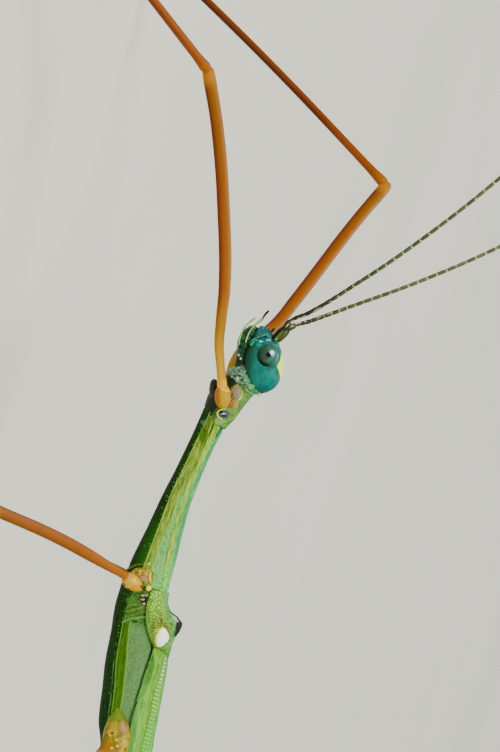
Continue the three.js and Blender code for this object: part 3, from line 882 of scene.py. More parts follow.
def eyePaint():
    paint = Paint("eyeLens")
    x, _, z = paint.xyz()
    along, across = leaning(x - eye["centre"].x, z - eye["centre"].z)
    fromPupil = ((x - eye["pupil"][0]) ** 2 + (z - eye["pupil"][1]) ** 2) ** 0.5
    cloud = paint.noise(2.4, 3)
    fromGlint = ((x - eye["glint"][0]) ** 2 + (z - eye["glint"][1]) ** 2) ** 0.5
    # the dark crescent, painted shade on the eye's lower side, is what lies outside a smaller disc set
    # towards the crown
    inner = ((across - 0.14) ** 2 + (along - 0.03) ** 2) ** 0.5 + (cloud - 0.5) * 0.08
    # a grey ring at the top and towards the crown
    outer = ((along / 0.77) ** 2 + (across / 0.7) ** 2) ** 0.5
    facets = paint.cells(38)
    colour = paint.coats(
        (66, 100, 66),
        ((84, 140, 130), (across + (cloud - 0.5) * 0.3).rising(-0.15, 0.35)),
        ((66, 114, 92), (0 - along - 0.2).rising(0, 0.3) * 0.8),
        ((0, 36, 6), inner.rising(0.5, 0.62) * across.falling(-0.1, 0.3) * along.falling(0.3, 0.6)),
        ((140, 176, 186), fromGlint.falling(0.1, 0.3) * 0.7),
        ((48, 84, 70), fromPupil.falling(0.17, 0.28) * 0.7),
        ((246, 250, 255), fromGlint.falling(0.1, 0.19)),
        ((0, 0, 0), fromPupil.falling(0.13, 0.18)),
        ((86, 112, 84), outer.rising(0.7, 0.86) * along.rising(0.2, 0.5) * 0.8),
        ((104, 140, 134), outer.rising(0.78, 0.92) * across.rising(0.2, 0.45) * 0.8),
        ((20, 40, 34), facets.rising(0.35, 0.6) * 0.18),
    )
    return paint.surface(colour, 0.25, facets, 0.003, gloss=0.08, Coat_Weight=0.14, Coat_Roughness=0.06)


def buildEyes():
    paint = eyePaint()
    for side, hand in sides.items():
        centre = Vector((eye["centre"].x, hand * eye["centre"].y, eye["centre"].z))
        lens = ball(
            "eye" + side.title(),
            centre,
            eye["radii"],
            64,
            40,
            (math.radians(90), math.radians(layout["lean"]), 0),
        )
        settle(lens, "eye", paint, "eye_" + side)


mouth = {
    "hoops": [
        [1.75, 18.4, 1.66, 17.62, 0.42], [2.7, 18.3, 2.62, 17.46, 0.68], [3.6, 18.3, 3.6, 17.3, 0.72],
        [4.3, 18.4, 4.3, 17.4, 0.62], [4.8, 18.5, 4.86, 17.9, 0.4],
    ],
    "labialPalp": [
        (3.2, 0.5, 17.56), (3.78, 0.78, 17.53), (4.58, 0.84, 17.64), (5.08, 0.85, 17.91),
        (5.4, 0.84, 18.16),
    ],
    "palp": [
        (3.6, 0.7, 17.95), (4.36, 0.92, 18.05), (4.92, 1.0, 18.29), (5.42, 1.0, 18.62), (5.75, 1.02, 18.72),
        (6.1, 1.02, 18.9),
    ],
    # small marks; the two white ones at x 2.67 and x 2.49 are painted highlights
    "dabs": [
        [3.3, 18.23, 0.25, 0.2, (104, 84, 40), 0.7], [2.67, 17.75, 0.07, 0.07, (225, 235, 215), 0.9],
        [2.49, 17.94, 0.07, 0.07, (225, 235, 215), 0.9], [4.7, 18.92, 0.09, 0.12, (150, 180, 160), 0.7],
        [5.0, 19.03, 0.07, 0.12, (170, 196, 176), 0.7],
    ],
    # the far pair is held in closer
    "tucked": (-1.0, 0.2, 0.4),
}


def palpRows(ends, girth, tip):
    # jointed girth rows: each joint swells towards its end and is nipped at the seam
    rows = []
    for k, (start, end) in enumerate(zip(ends, ends[1:])):
        thick = girth + (tip - girth) * k / (len(ends) - 2)
        step = end - start
        rows += [
            [start + step * 0.02, thick * 0.62, thick * 0.66],
            [start + step * 0.12, thick * 0.85, thick * 0.9],
        ]
        rows += [[start + step * 0.6, thick, thick * 1.05], [start + step * 0.92, thick * 1.08, thick * 1.1]]
    rows.append([ends[-1], tip * 0.3, tip * 0.3])
    return rows


def palpPaint(name, tipDark):
    paint = Paint(name)
    along, turn = paint.marked("along"), paint.marked("turn")
    fine = paint.noise(9, 3)
    colour = fine.tint((84, 96, 40), (128, 134, 74))
    colour = paint.coats(
        colour,
        # the pale line along each palp is a painted highlight
        ((196, 218, 168), turn.line(0.46, 0.1) * 0.95),
        ((28, 48, 14), turn.falling(0.08, 0.3) * 0.6),
        ((28, 40, 14), turn.rising(0.62, 0.78) * 0.8),
        ((24, 20, 10), along.rising(0.7, 0.78) * tipDark),
    )
    return paint.surface(colour, 0.4, fine, 0.01, gloss=0.15)


def mouthPaint():
    paint = Paint("mouthGreen")
    fine = paint.noise(6, 4)
    wrinkle = paint.noise(3.4, 3, distortion=1.2)
    # dark green, partly the mouthparts' own colour and partly painted shade, as they lie under the head
    colour = wrinkle.tint((4, 50, 20), (34, 104, 64), 0.35, 0.65)
    colour = paint.coats(
        colour,
        ((140, 184, 152), wrinkle.rising(0.56, 0.66) * fine.rising(0.45, 0.6) * 0.8),
        ((0, 18, 4), wrinkle.falling(0.32, 0.4) * 0.7),
    )
    colour = dabbed(paint, colour, mouth["dabs"])
    return paint.surface(colour, 0.35, wrinkle * 0.7 + fine * 0.3, 0.04, gloss=0.15)


def buildMouth():
    mass = hoopTube("mouthMass", 28, leaningHoops(mouth["hoops"], 18))
    smoothen(mass, 2)
    roughen(mass, 0.35, 0.09)
    settle(mass, "head_shell", mouthPaint(), "mouthparts")
    palpFinish = palpPaint("palpOlive", 1.0)
    labialFinish = palpPaint("labialPalpCream", 0.0)
    for side, hand in sides.items():
        shift = mouth["tucked"] if hand < 0 else (0, 0, 0)
        for name, ends, girth, tip, finish, nodes in (
            ("palp", [0, 0.16, 0.3, 0.52, 0.76, 1], 0.095, 0.08, palpFinish, ["palp_" + side]),
            ("labialPalp", [0, 0.32, 0.62, 1], 0.08, 0.06, labialFinish, []),
        ):
            route = [(x + shift[0], hand * (y - shift[1]), z + shift[2]) for x, y, z in mouth[name]]
            palp = limbTube(name + side.title(), 14, route, palpRows(ends, girth, tip), 1)
            settle(palp, "feeler", finish, *nodes)


buildHeadShell()
buildEyes()
buildMouth()


# ---- antennae
antennae = {
    "around": 12,
    "segments": 62,
    "left": [
        (4.3, 0.5, 19.7), (5.3, 0.84, 20.22), (5.85, 1.05, 20.5), (6.65, 1.6, 21.55), (9.13, 2.8, 24.04),
        (12.82, 4.6, 27.41), (18.43, 7.1, 31.86), (27.4, 10.9, 38.0), (37.2, 14.7, 42.6),
        (47.7, 18.18, 45.16),
    ],
    "right": [
        (4.3, -0.5, 19.7), (5.1, -0.78, 20.1), (5.55, -1.0, 20.38), (6.16, -1.7, 21.17),
        (8.05, -3.3, 23.45), (10.72, -5.3, 26.69), (14.88, -8.1, 31.17), (22.9, -12.6, 38.6),
        (32.2, -16.6, 44.6), (42.3, -19.97, 48.14),
    ],
    # girth by distance from the head, in millimetres
    "girth": [
        [0, 0.2], [0.15, 0.25], [0.5, 0.3], [1.0, 0.28], [1.12, 0.16], [1.2, 0.18], [1.5, 0.21], [1.7, 0.2],
        [1.8, 0.13], [2.4, 0.15], [6, 0.14], [20, 0.125], [40, 0.1], [60, 0.06], [80, 0.04],
    ],
    "flagellum": 1.8,
}


def antennaRows(length):
    # scape and pedicel, then rings that are nipped at their seams and grow longer outwards
    start = antennae["flagellum"]
    rows = []
    for distance in (0, 0.15, 0.5, 1.0, 1.12, 1.2, 1.5, 1.7, 1.78):
        girth = float(valueAt(antennae["girth"], distance))
        rows.append([distance / length, girth, girth])
    shares = np.linspace(0, 1, antennae["segments"] + 1) ** 1.25
    seams = start + (length - start) * shares
    for near, far in zip(seams, seams[1:]):
        for share, swell in ((0.06, 0.84), (0.2, 1.0), (0.8, 1.05), (0.95, 0.9)):
            distance = near + (far - near) * share
            girth = float(valueAt(antennae["girth"], distance)) * swell
            rows.append([distance / length, girth, girth])
    rows.append([1, 0.02, 0.02])
    return rows, (seams / length).tolist()


def antennaPaint(name):
    paint = Paint(name)
    along, turn, ring = paint.marked("along"), paint.marked("turn"), paint.marked("ring")
    fine = paint.noise(5, 3)
    tint = paint.noise(1.0, 0, paint.joined(ring.maths("FLOOR"), 0.5, 0.5))
    colour = along.tint((82, 80, 44), (120, 124, 86), 0.03, 0.3)
    seam = (ring.part() - 0.5).size().rising(0.38, 0.46)
    dark = (turn + along.falling(0.02, 0.12) * 0.14).rising(0.64, 0.76)
    # glossy dark joints next to the head
    near = along.falling(0.03, 0.14)
    sheen = paint.noise(2.6, 2)
    base = along.falling(0.017, 0.02)
    scape = fine.tint((60, 96, 30), (96, 128, 60), 0.4, 0.6)
    scape = paint.mix(scape, (96, 88, 28), turn.falling(0.2, 0.4))
    scape = paint.mix(scape, (8, 12, 0), (turn + (fine - 0.5) * 0.2).rising(0.48, 0.6))
    scape = paint.mix(scape, (190, 204, 150), sheen.rising(0.62, 0.7) * turn.line(0.4, 0.07) * 0.5)
    colour = paint.coats(
        colour,
        ((78, 74, 40), tint.rising(0.5, 0.6) * 0.5),
        ((110, 92, 50), turn.falling(0.16, 0.3) * 0.6),
        ((206, 204, 164), seam * 0.6 * along.rising(0.02, 0.03) * fine.rising(0.35, 0.55)),
        ((20, 16, 2), dark * 0.9),
        ((44, 38, 18), near * 0.85),
        (
            (216, 214, 192),
            near * along.rising(0.022, 0.03) * sheen.rising(0.48, 0.56) * turn.line(0.42, 0.05) * 0.8,
        ),
        (scape, base),
    )
    return paint.surface(colour, 0.4, fine, 0.008, gloss=0.12)


def buildAntennae():
    for side in sides:
        curve, length = routeCurve(antennae[side])
        bpy.data.objects.remove(curve)
        rows, seams = antennaRows(length)
        piece = limbTube("antenna" + side.title(), antennae["around"], antennae[side], rows, 1)
        mark(piece, "ring", np.interp(marks(piece, "along"), seams, np.arange(len(seams))))
        nodes = ["antenna_" + side + "_" + part for part in ("base", "middle", "tip")]
        settle(piece, "feeler", antennaPaint(piece.name + "Olive"), *nodes)


buildAntennae()


# ---- legs
legs = {
    "fore": {
        "left": {
            "coxa": (-0.12, 1.3, 17.58),
            "femur": [
                (0.3, 1.45, 17.47), (2.12, 2.08, 16.85), (2.93, 2.37, 16.6), (4.68, 2.95, 16.32),
                (6.62, 3.6, 16.06), (11.46, 5.29, 14.8), (16.29, 7.02, 13.2), (20.04, 8.4, 11.58),
            ],
            "ankle": (28.45, 27.9, 0.9),
            "foot": (2.1, 5.0),
        },
        "right": {
            "coxa": (-0.12, -1.3, 17.58),
            "femur": [
                (0.3, -1.4, 17.3), (1.82, -1.6, 17.14), (2.84, -2.1, 17.27), (3.96, -3.4, 17.78),
                (5.37, -5.12, 18.51), (7.42, -6.64, 19.09), (14.02, -11.11, 20.8), (17.2, -13.35, 21.8),
            ],
            "ankle": (28.2, -17.0, 0.9),
            "foot": (3.2, -4.4),
        },
    },
    "mid": {
        "left": {
            "coxa": (-13.82, 1.75, 15.95),
            "femur": [(-13.6, 2.1, 15.3), (-13.18, 4.2, 14.3), (-12.16, 9.2, 11.56), (-11.26, 16.4, 8.1)],
            "ankle": (-9.9, 25.4, 0.9),
            "foot": (0.9, 4.5),
        },
        "right": {
            "coxa": (-13.82, -1.75, 15.95),
            "femur": [(-13.6, -2.1, 15.42), (-14.1, -8.5, 14.9), (-14.6, -15.0, 14.0)],
            "ankle": (-12.8, -16.9, 0.9),
            "foot": (-1.6, -3.7),
        },
    },
    "hind": {
        "left": {
            "coxa": (-23.45, 1.6, 17.15),
            "femur": [(-24.3, 2.0, 17.1), (-31.3, 8.4, 17.4), (-38.5, 15.0, 17.0)],
            "ankle": (-51.0, 24.8, 0.9),
            "foot": (-4.4, 3.4),
        },
        "right": {
            "coxa": (-23.45, -1.6, 17.15),
            "femur": [(-24.3, -2.0, 17.1), (-30.0, -9.1, 17.4), (-36.0, -16.5, 17.0)],
            "ankle": (-46.0, -28.0, 0.9),
            "foot": (-3.6, -4.3),
        },
    },
    "femurRows": [
        [0, 0.3, 0.3], [0.015, 0.36, 0.36], [0.035, 0.33, 0.33], [0.05, 0.29, 0.29], [0.15, 0.32, 0.33],
        [0.35, 0.41, 0.42], [0.7, 0.42, 0.43], [0.9, 0.41, 0.42], [0.955, 0.43, 0.44], [0.985, 0.42, 0.42],
        [1, 0.34, 0.34],
    ],
    "tibiaRows": [
        [0, 0.3, 0.3], [0.008, 0.4, 0.4], [0.02, 0.41, 0.41], [0.04, 0.35, 0.35], [0.08, 0.3, 0.3],
        [0.3, 0.27, 0.28], [0.8, 0.27, 0.28], [0.95, 0.32, 0.33], [0.985, 0.33, 0.34], [1, 0.22, 0.22],
    ],
    "footLine": [(-0.05, 0.98), (0.02, 0.8), (0.14, 0.56), (0.34, 0.28), (0.6, 0.21), (0.95, 0.21)],
    "footRows": [
        [0, 0.2, 0.22], [0.03, 0.25, 0.26], [0.3, 0.22, 0.2], [0.36, 0.29, 0.27], [0.385, 0.19, 0.17],
        [0.41, 0.23, 0.2], [0.52, 0.27, 0.24], [0.545, 0.18, 0.16], [0.57, 0.23, 0.2], [0.65, 0.27, 0.24],
        [0.67, 0.18, 0.16], [0.69, 0.24, 0.2], [0.74, 0.27, 0.23], [0.76, 0.17, 0.15], [0.78, 0.19, 0.17],
        [0.92, 0.26, 0.25], [0.98, 0.25, 0.24], [1, 0.12, 0.12],
    ],
    # colours along each limb, its dark underside, its pale upper side, its knee and its root; the dark
    # underside and pale upper side are partly the limb's own two tones and partly painted shade and painted
    # light
    "shades": {
        "fore": (
            [
                (0.0, (206, 172, 0)), (0.1, (198, 164, 0)), (0.2, (184, 138, 0)), (0.32, (174, 108, 0)),
                (0.6, (166, 96, 0)), (0.9, (160, 100, 4)),
            ],
            (134, 54, 0), (180, 140, 10), (190, 140, 66), (216, 176, 90),
        ),
        "mid": (
            [(0.0, (190, 144, 10)), (0.1, (178, 120, 6)), (0.4, (164, 100, 0)), (0.9, (150, 86, 4))],
            (86, 46, 0), (184, 120, 10), (176, 126, 50), (184, 142, 6),
        ),
        "hind": (
            [(0.0, (150, 124, 30)), (0.15, (162, 114, 26)), (0.5, (166, 98, 20)), (0.9, (156, 86, 20))],
            (96, 48, 4), (196, 140, 64), (178, 126, 60), (150, 124, 36),
        ),
        "tibia": (
            [(0.0, (190, 130, 62)), (0.06, (168, 96, 26)), (0.3, (156, 76, 10)), (1.0, (134, 70, 10))],
            (96, 36, 0), (176, 112, 30), None,
        ),
        "foot": (
            [(0.0, (140, 80, 26)), (0.5, (126, 80, 36)), (1.0, (90, 58, 28))], (60, 36, 14), (168, 124, 70),
            None,
        ),
    },
}


def ridged(depth):
    # ridges along the limb at these degrees from its top, as on a squared stem
    low, high = 42, 138

    def relief(points, share):
        turn = np.degrees(np.arctan2(np.abs(points[:, 1]), points[:, 2]))
        fade = ease(share, 0.03, 0.12) * ease(share, 1.0, 0.93)
        return (bell(turn, low, 13) + bell(turn, high, 13) - 0.4 * bell(turn, 90, 25)) * depth * fade

    return relief


def limbPaint(name, rows, dark, pale, knee, root=None):
    # rows give the colour along the limb as [place, colour]
    paint = Paint(name)
    along, turn = paint.marked("along"), paint.marked("turn")
    fine = paint.noise(7, 3)
    streak = paint.noise(2.2, 3)
    colour = paint.ramp(along, [(place, tone(*shade)) for place, shade in rows])
    beyond = along.rising(0.16, 0.34) * 0.75 + 0.25
    # pale on the upper side and dark on the underside, partly the limb's own two tones and partly painted
    # light and shade
    colour = paint.coats(
        colour,
        (pale, turn.falling(0.12, 0.45) * 0.45),
        (dark, (turn + (fine - 0.5) * 0.1).rising(0.45, 0.72) * 0.9 * beyond),
        (dark, streak.rising(0.58, 0.75) * 0.25),
    )
    if knee:
        colour = paint.mix(colour, knee, along.rising(0.93, 0.965) * 0.8)
    if root:
        colour = paint.mix(colour, root, 1 - (along + (fine - 0.5) * 0.01).rising(0.03, 0.05))
    height = fine * 0.5 + paint.cells(14).rising(0.0, 0.5) * 0.5
    return paint.surface(colour, 0.42 + streak * 0.12, height, 0.015, gloss=0.1)


def addClaws(foot, ankle, run):
    # two hooked claws and a pad between them at the foot's end
    heading = math.atan2(run[1], run[0])
    end = Vector((ankle[0] + run[0] * 0.93, ankle[1] + run[1] * 0.93, 0.24))
    reach = math.hypot(*run) * 0.05
    parts = []
    for hand in (1, -1):
        hoops = []
        for share in np.linspace(0, 1, 7):
            centre = Vector(
                (
                    share * (reach + 0.06),
                    hand * (0.1 + 0.16 * share**0.8),
                    0.1 * math.sin(share * 2.6) - 0.14 * share**2,
                ),
            )
            hoops.append((centre, 0.075 * (1 - share) + 0.012, 0.085 * (1 - share) + 0.012, 0))
        claw = hoopTube("claw", 8, hoops)
        smoothen(claw, 1)
        parts.append(claw)
    parts.append(ball("pad", (reach * 0.5, 0, -0.06), (0.14, 0.13, 0.09), 14, 10))
    turned = Matrix.Translation(end) @ Matrix.Rotation(heading, 4, "Z")
    for part in parts:
        part.data.transform(turned)
    return joinInto(foot, *parts)


def buildLeg(pair, side, finishes):
    hand = sides[side]
    leg = legs[pair][side]
    name = pair + side.title()
    node = pair + "_" + side
    hip = Vector(leg["coxa"])
    route = [hip.lerp(Vector(leg["femur"][0]), 0.3)] + [Vector(p) for p in leg["femur"]]
    femur = limbTube(name + "Femur", 20, route, legs["femurRows"], 2, 46, ridged(0.03))
    settle(femur, "thigh", finishes["femur"], node + "_femur")
    knee, ankle = Vector(leg["femur"][-1]), Vector(leg["ankle"])
    middle = knee.lerp(ankle, 0.5) + Vector((0, 0, 0.12))
    start = knee.lerp(route[-2], 0.3 / (knee - Vector(route[-2])).length)
    tibia = limbTube(name + "Tibia", 16, [start, middle, ankle], legs["tibiaRows"], 2, 60, ridged(0.022))
    settle(tibia, "shin", finishes["tibia"], node + "_tibia")
    run = leg["foot"]
    line = [
        Vector((ankle.x + run[0] * share, ankle.y + run[1] * share, level))
        for share, level in legs["footLine"]
    ]
    foot = limbTube(name + "Foot", 16, line, legs["footRows"], 1)
    foot = addClaws(foot, ankle, run)
    points = pointsOf(foot)
    points[:, 2] = np.maximum(points[:, 2], 0)
    putPoints(foot, points)
    settle(foot, "foot", finishes["foot"], node + "_tarsus")


def buildLegs():
    shades = legs["shades"]
    for pair in ("fore", "mid", "hind"):
        finishes = {
            "femur": limbPaint(pair + "FemurOrange", *shades[pair]),
            "tibia": limbPaint(pair + "TibiaRust", *shades["tibia"]),
            "foot": limbPaint(pair + "FootBrown", *shades["foot"]),
        }
        for side in sides:
            buildLeg(pair, side, finishes)


buildLegs()


# ---- wings: shape
# Each wing is a curved plate over the back, in rows of [distance behind x = 0, value].
wings = {
    "tegmen": {
        "ends": (13.9, 18.3),
        "top": [
            [13.9, 17.82], [14.5, 17.98], [15, 18.32], [15.5, 18.62], [16.2, 18.82], [17.2, 18.95],
            [18.3, 19.02],
        ],
        "reach": [
            [13.9, 61], [14.06, 63], [14.64, 63.8], [15.14, 62.6], [15.62, 60], [16.08, 56], [16.46, 51.5],
            [16.7, 47], [17.18, 39.5], [17.48, 30.5], [17.9, 18], [18.3, 7],
        ],
        "grid": (150, 84),
    },
    "hindwing": {
        "ends": (16.4, 50.5),
        "top": [
            [16.4, 18.72], [18.1, 18.98], [19.4, 19.2], [21.7, 19.45], [24, 19.76], [31, 20.4], [38, 20.94],
            [45, 21.38], [49, 21.46], [50.5, 21.4],
        ],
        "reach": [
            [16.4, 24], [17.6, 28], [18.2, 32], [18.8, 37.5], [19.5, 42], [20.2, 45.3], [20.8, 48.8],
            [21.5, 53], [22, 55.8], [22.6, 57.6], [23.1, 58.8], [24, 60.8], [31, 74], [38, 77], [45, 69],
            [49, 40], [50.5, 12],
        ],
        "grid": (420, 96),
    },
    "hump": {"behind": 15.6, "angle": 10, "height": 0.54, "front": 0.56, "rear": 0.88, "spread": 12},
    "thickness": 0.52,
    "fade": 1.7,
    "closing": 14,
    "midline": 2.2,
    "membrane": 0.06,
    "rungs": 0.27,
    # the white spot's outline on the tegmen, as [distance behind, degrees]
    "spot": [
        [16.0, 34], [16.11, 27.6], [16.32, 22], [16.62, 17], [16.9, 16.8], [17.14, 22], [17.28, 26.5],
        [17.48, 26.5], [17.34, 32.6], [17.1, 37.4], [16.78, 40], [16.46, 41.5], [16.2, 39],
    ],
}
abdomen = {
    "axis": [
        [21.3, 17.1], [25, 17.8], [31, 18.5], [38, 19.2], [45, 19.78], [52, 20.15], [60, 20.35], [71, 20.4],
    ],
    "tall": [
        [21.3, 1.66], [25, 1.34], [31, 1.26], [38, 1.2], [45, 1.14], [52, 1.06], [60, 0.98], [66, 0.86],
        [71, 0.55],
    ],
    "half": [
        [21.3, 1.7], [25, 1.54], [31, 1.42], [38, 1.32], [45, 1.22], [52, 1.12], [60, 1.02], [66, 0.92],
        [71, 0.6],
    ],
    "ends": [21.3, 25.0, 31.2, 37.9, 44.4, 50.5, 56.2, 61.2, 64.3, 66.6, 68.8],
}
# The hind wing's bands end at these lines, as [distance behind, degrees from the midline]. The band
# mark is 0 on the midline, 1 to 3 on the lines and 4 on the lower edge.
wingLines = {
    "ladder": [
        [16.4, 3], [18.2, 7.5], [19.3, 10.5], [21, 10.5], [22.5, 11], [24.2, 16], [31, 18], [50.5, 12],
    ],
    "ladderEnd": [
        [16.4, 12], [18.3, 18.5], [19, 23.5], [20, 27], [21.2, 29.5], [22.6, 32.5], [24.2, 38], [31, 44],
        [50.5, 30],
    ],
    "vein": [
        [16.4, 28], [18.2, 28.5], [19.6, 35.5], [21.7, 43], [22.7, 45.5], [24.3, 48], [31, 56], [50.5, 40],
    ],
}


def underWing(behind):
    # the trunk's middle height, half height and half width
    middle, tall, half = (valueAt(column, -behind) for column in axisOf(thorax["metathorax"]))
    past = behind > abdomen["ends"][0]
    picks = [
        np.where(past, valueAt(abdomen[key], behind), front)
        for key, front in (("axis", middle), ("tall", tall), ("half", half))
    ]
    return picks


def wingSheet(name, wing, hand, hump=None):
    # a plate laid over the back, with its attributes left in place for the veins and the colours
    along, across = wing["grid"]
    deselectAll()
    bpy.ops.mesh.primitive_grid_add(x_subdivisions=along, y_subdivisions=across, size=1)
    piece = bpy.context.object
    piece.name = name
    flat = pointsOf(piece)
    start, end = wing["ends"]
    share = flat[:, 1] + 0.5
    behind = start + (end - start) * (flat[:, 0] + 0.5)
    reach = valueAt(wing["reach"], behind)
    degrees = wings["midline"] + (reach - wings["midline"]) * share
    middle, tall, half = underWing(behind)
    crown = valueAt(wing["top"], behind) - middle - tall
    turn = np.radians(degrees)
    rim = wings["thickness"]
    lift = rim + (crown - rim) * np.cos(turn) ** 2
    # the lower edge comes down to lie against the side
    toEdge = (reach - degrees) / wings["closing"]
    base = wings["membrane"]
    lift = base + (lift - base) * ease(toEdge, -0.25, 0.85) * ease(behind, start - 0.1, start + wings["fade"])
    if hump:
        # steep in front and long behind
        climb = 0.75 * ease(behind, hump["behind"] - hump["front"], hump["behind"] - hump["front"] + 0.28)
        climb += 0.25 * ease(behind, hump["behind"] - 0.3, hump["behind"])
        rise = np.where(behind < hump["behind"], climb, bell(behind, hump["behind"], hump["rear"]))
        lift += hump["height"] * rise * bell(degrees, hump["angle"], hump["spread"])
    square = 1 + thorax["squareness"] * np.sin(2 * turn) ** 2
    points = np.stack(
        [
            -behind,
            hand * (half + lift) * np.sin(turn) * square,
            middle + (tall + lift) * np.cos(turn) * square,
        ],
        axis=1,
    )
    putPoints(piece, points)
    mark(piece, "degrees", degrees)
    mark(piece, "toEdge", reach - degrees)
    mark(piece, "behind", behind)
    choose(piece)
    bpy.ops.object.mode_set(mode="EDIT")
    bpy.ops.mesh.select_all(action="SELECT")
    if hand < 0:
        bpy.ops.mesh.flip_normals()
    bpy.ops.object.mode_set(mode="OBJECT")
    return piece


def thicken(piece):
    finishWith(piece, "SOLIDIFY", thickness=wings["membrane"], offset=-1.0)


# ---- wings: finish
def outlineReach(spots, outline, scale):
    # how far out each spot is from the outline's middle: 1 on the outline itself
    outline = np.array(outline)
    middle = outline.mean(axis=0)
    edge = (outline - middle) / scale
    turns = np.degrees(np.arctan2(edge[:, 1], edge[:, 0]))
    order = np.argsort(turns)
    away = (spots - middle) / scale
    spotTurns = np.degrees(np.arctan2(away[:, 1], away[:, 0]))
    edgeReach = np.interp(spotTurns, turns[order], np.hypot(*edge.T)[order], period=360)
    return np.hypot(*away.T) / edgeReach


def tegmenPaint():
    paint = Paint("tegmenGreen")
    degrees, toEdge, behind = paint.marked("degrees"), paint.marked("toEdge"), paint.marked("behind")
    veins, spot = paint.marked("veins"), paint.marked("spot")
    net = paint.cells(5.6, "DISTANCE_TO_EDGE")
    cloud = paint.noise(1.4, 3)
    fine = paint.noise(8, 3)
    browning = behind.rising(14.9, 15.8) * degrees.rising(20, 36) * cloud.rising(0.3, 0.55)
    ragged = spot + (fine - 0.5) * 0.18
    ring = ragged.falling(1.2, 2.2) * behind.rising(16.7, 15.9) * fine.rising(0.4, 0.6)
    inside = ragged + degrees.rising(26, 42) * 0.12
    knob = (((behind - 15.8) / 0.85) ** 2 + ((degrees - 6) / 11) ** 2) ** 0.5 + (cloud - 0.5) * 0.4
    patch = (((behind - 15.36) / 0.24) ** 2 + ((degrees - 12) / 8) ** 2) ** 0.5 + (fine - 0.5) * 1.6
    # dark dots in front of the hump
    dots = 1 - paint.cells(7).rising(0.16, 0.26)
    colour = paint.coats(
        (112, 140, 62),
        ((188, 204, 138), (net + (fine - 0.5) * 0.08).rising(0.02, 0.16)),
        ((110, 150, 70), cloud.rising(0.5, 0.7) * 0.4),
        ((106, 174, 122), degrees.rising(36, 16) * 0.55),
        ((142, 134, 66), browning * fine.rising(0.35, 0.6) * 0.85),
        ((122, 160, 66), behind.rising(17.0, 17.6) * 0.8),
        ((148, 182, 104), toEdge.falling(1.5, 6) * 0.8),
        ((170, 200, 140), veins * 0.5),
        ((126, 108, 40), ring * 0.8),
        ((128, 124, 58), ragged.falling(0.95, 1.3) * degrees.rising(46, 32) * 0.7),
        ((244, 250, 182), ragged.falling(0.9, 0.96)),
        ((255, 255, 255), inside.falling(0.8, 0.9)),
        ((4, 10, 4), knob.falling(0.7, 1.0)),
        ((196, 206, 194), patch.falling(0.5, 0.9) * 0.85),
        ((64, 84, 20), toEdge.falling(0.6, 1.6) * behind.rising(16.6, 17.2) * 0.8),
        ((10, 20, 6), dots * behind.line(15.0, 0.3) * degrees.rising(26, 18)),
    )
    # the spot glows, as painted light, since it is brighter than any paint
    shine = paint.mix((0, 0, 0), (255, 255, 255), inside.falling(0.76, 0.92))
    height = net.rising(0.0, 0.12) + fine * 0.3
    return paint.surface(
        colour, 0.46 + fine * 0.15, height, 0.035, gloss=0.1, Emission_Color=shine, Emission_Strength=0.7,
    )


def hindwingPaint():
    paint = Paint("hindwingGreen")
    band, toEdge, behind = paint.marked("band"), paint.marked("toEdge"), paint.marked("behind")
    streak = paint.noise(1.0, 3, paint.stretched((0.8, 7, 7)))
    fine = paint.noise(9, 3)
    pale = streak.tint((130, 176, 86), (164, 200, 118))
    pale = paint.mix(pale, (96, 158, 92), band.falling(0.2, 0.5) * 0.6)
    rung = (behind / wings["rungs"] + band * 0.35 + (fine - 0.5) * 0.3).part()
    rungs = 1 - (rung - 0.5).size().rising(0.12, 0.3)
    white = behind.falling(18.8, 20.2) * band.line(1.35, 0.3)
    light = paint.mix((172, 202, 134), (226, 234, 206), white)
    ladder = paint.mix(
        (138, 176, 100),
        light,
        rungs * (1 - behind.rising(21, 22.5) * 0.4) * (white + behind.rising(18.8, 20.2)),
    )
    leaf = streak.tint((130, 160, 82), (160, 182, 112), 0.35, 0.7)
    green = streak.tint((90, 134, 64), (122, 156, 88))
    greenRear = streak.tint((132, 170, 104), (160, 190, 130))
    green = paint.mix(green, greenRear, behind.rising(18.4, 21.5))
    hair = paint.noise(1.0, 2, paint.stretched((0.4, 24, 24)))
    lined = 1 - band.line(1.5, 0.45, 0.1)
    colour = paint.coats(
        pale,
        (ladder, band.rising(0.98, 1.06)),
        (leaf, band.rising(1.98, 2.1)),
        (green, (band + (streak - 0.5) * 0.12).rising(2.95, 3.15)),
        ((44, 96, 30), band.line(1.0, 0.07) * 0.85),
        ((52, 104, 30), band.line(2.04, 0.09) * 0.85),
        ((174, 204, 110), band.line(2.86, 0.09) * 0.6),
        ((74, 116, 50), toEdge.falling(0.25, 0.9) * 0.7),
        ((186, 214, 140), hair.rising(0.58, 0.68) * lined * 0.4),
        ((64, 116, 46), hair.falling(0.32, 0.42) * lined * 0.4),
    )
    height = rungs * band.line(1.5, 0.5, 0.1) * 0.6 + streak * 0.2 + hair * 0.2
    return paint.surface(colour, 0.48 + fine * 0.12, height, 0.025, gloss=0.06)


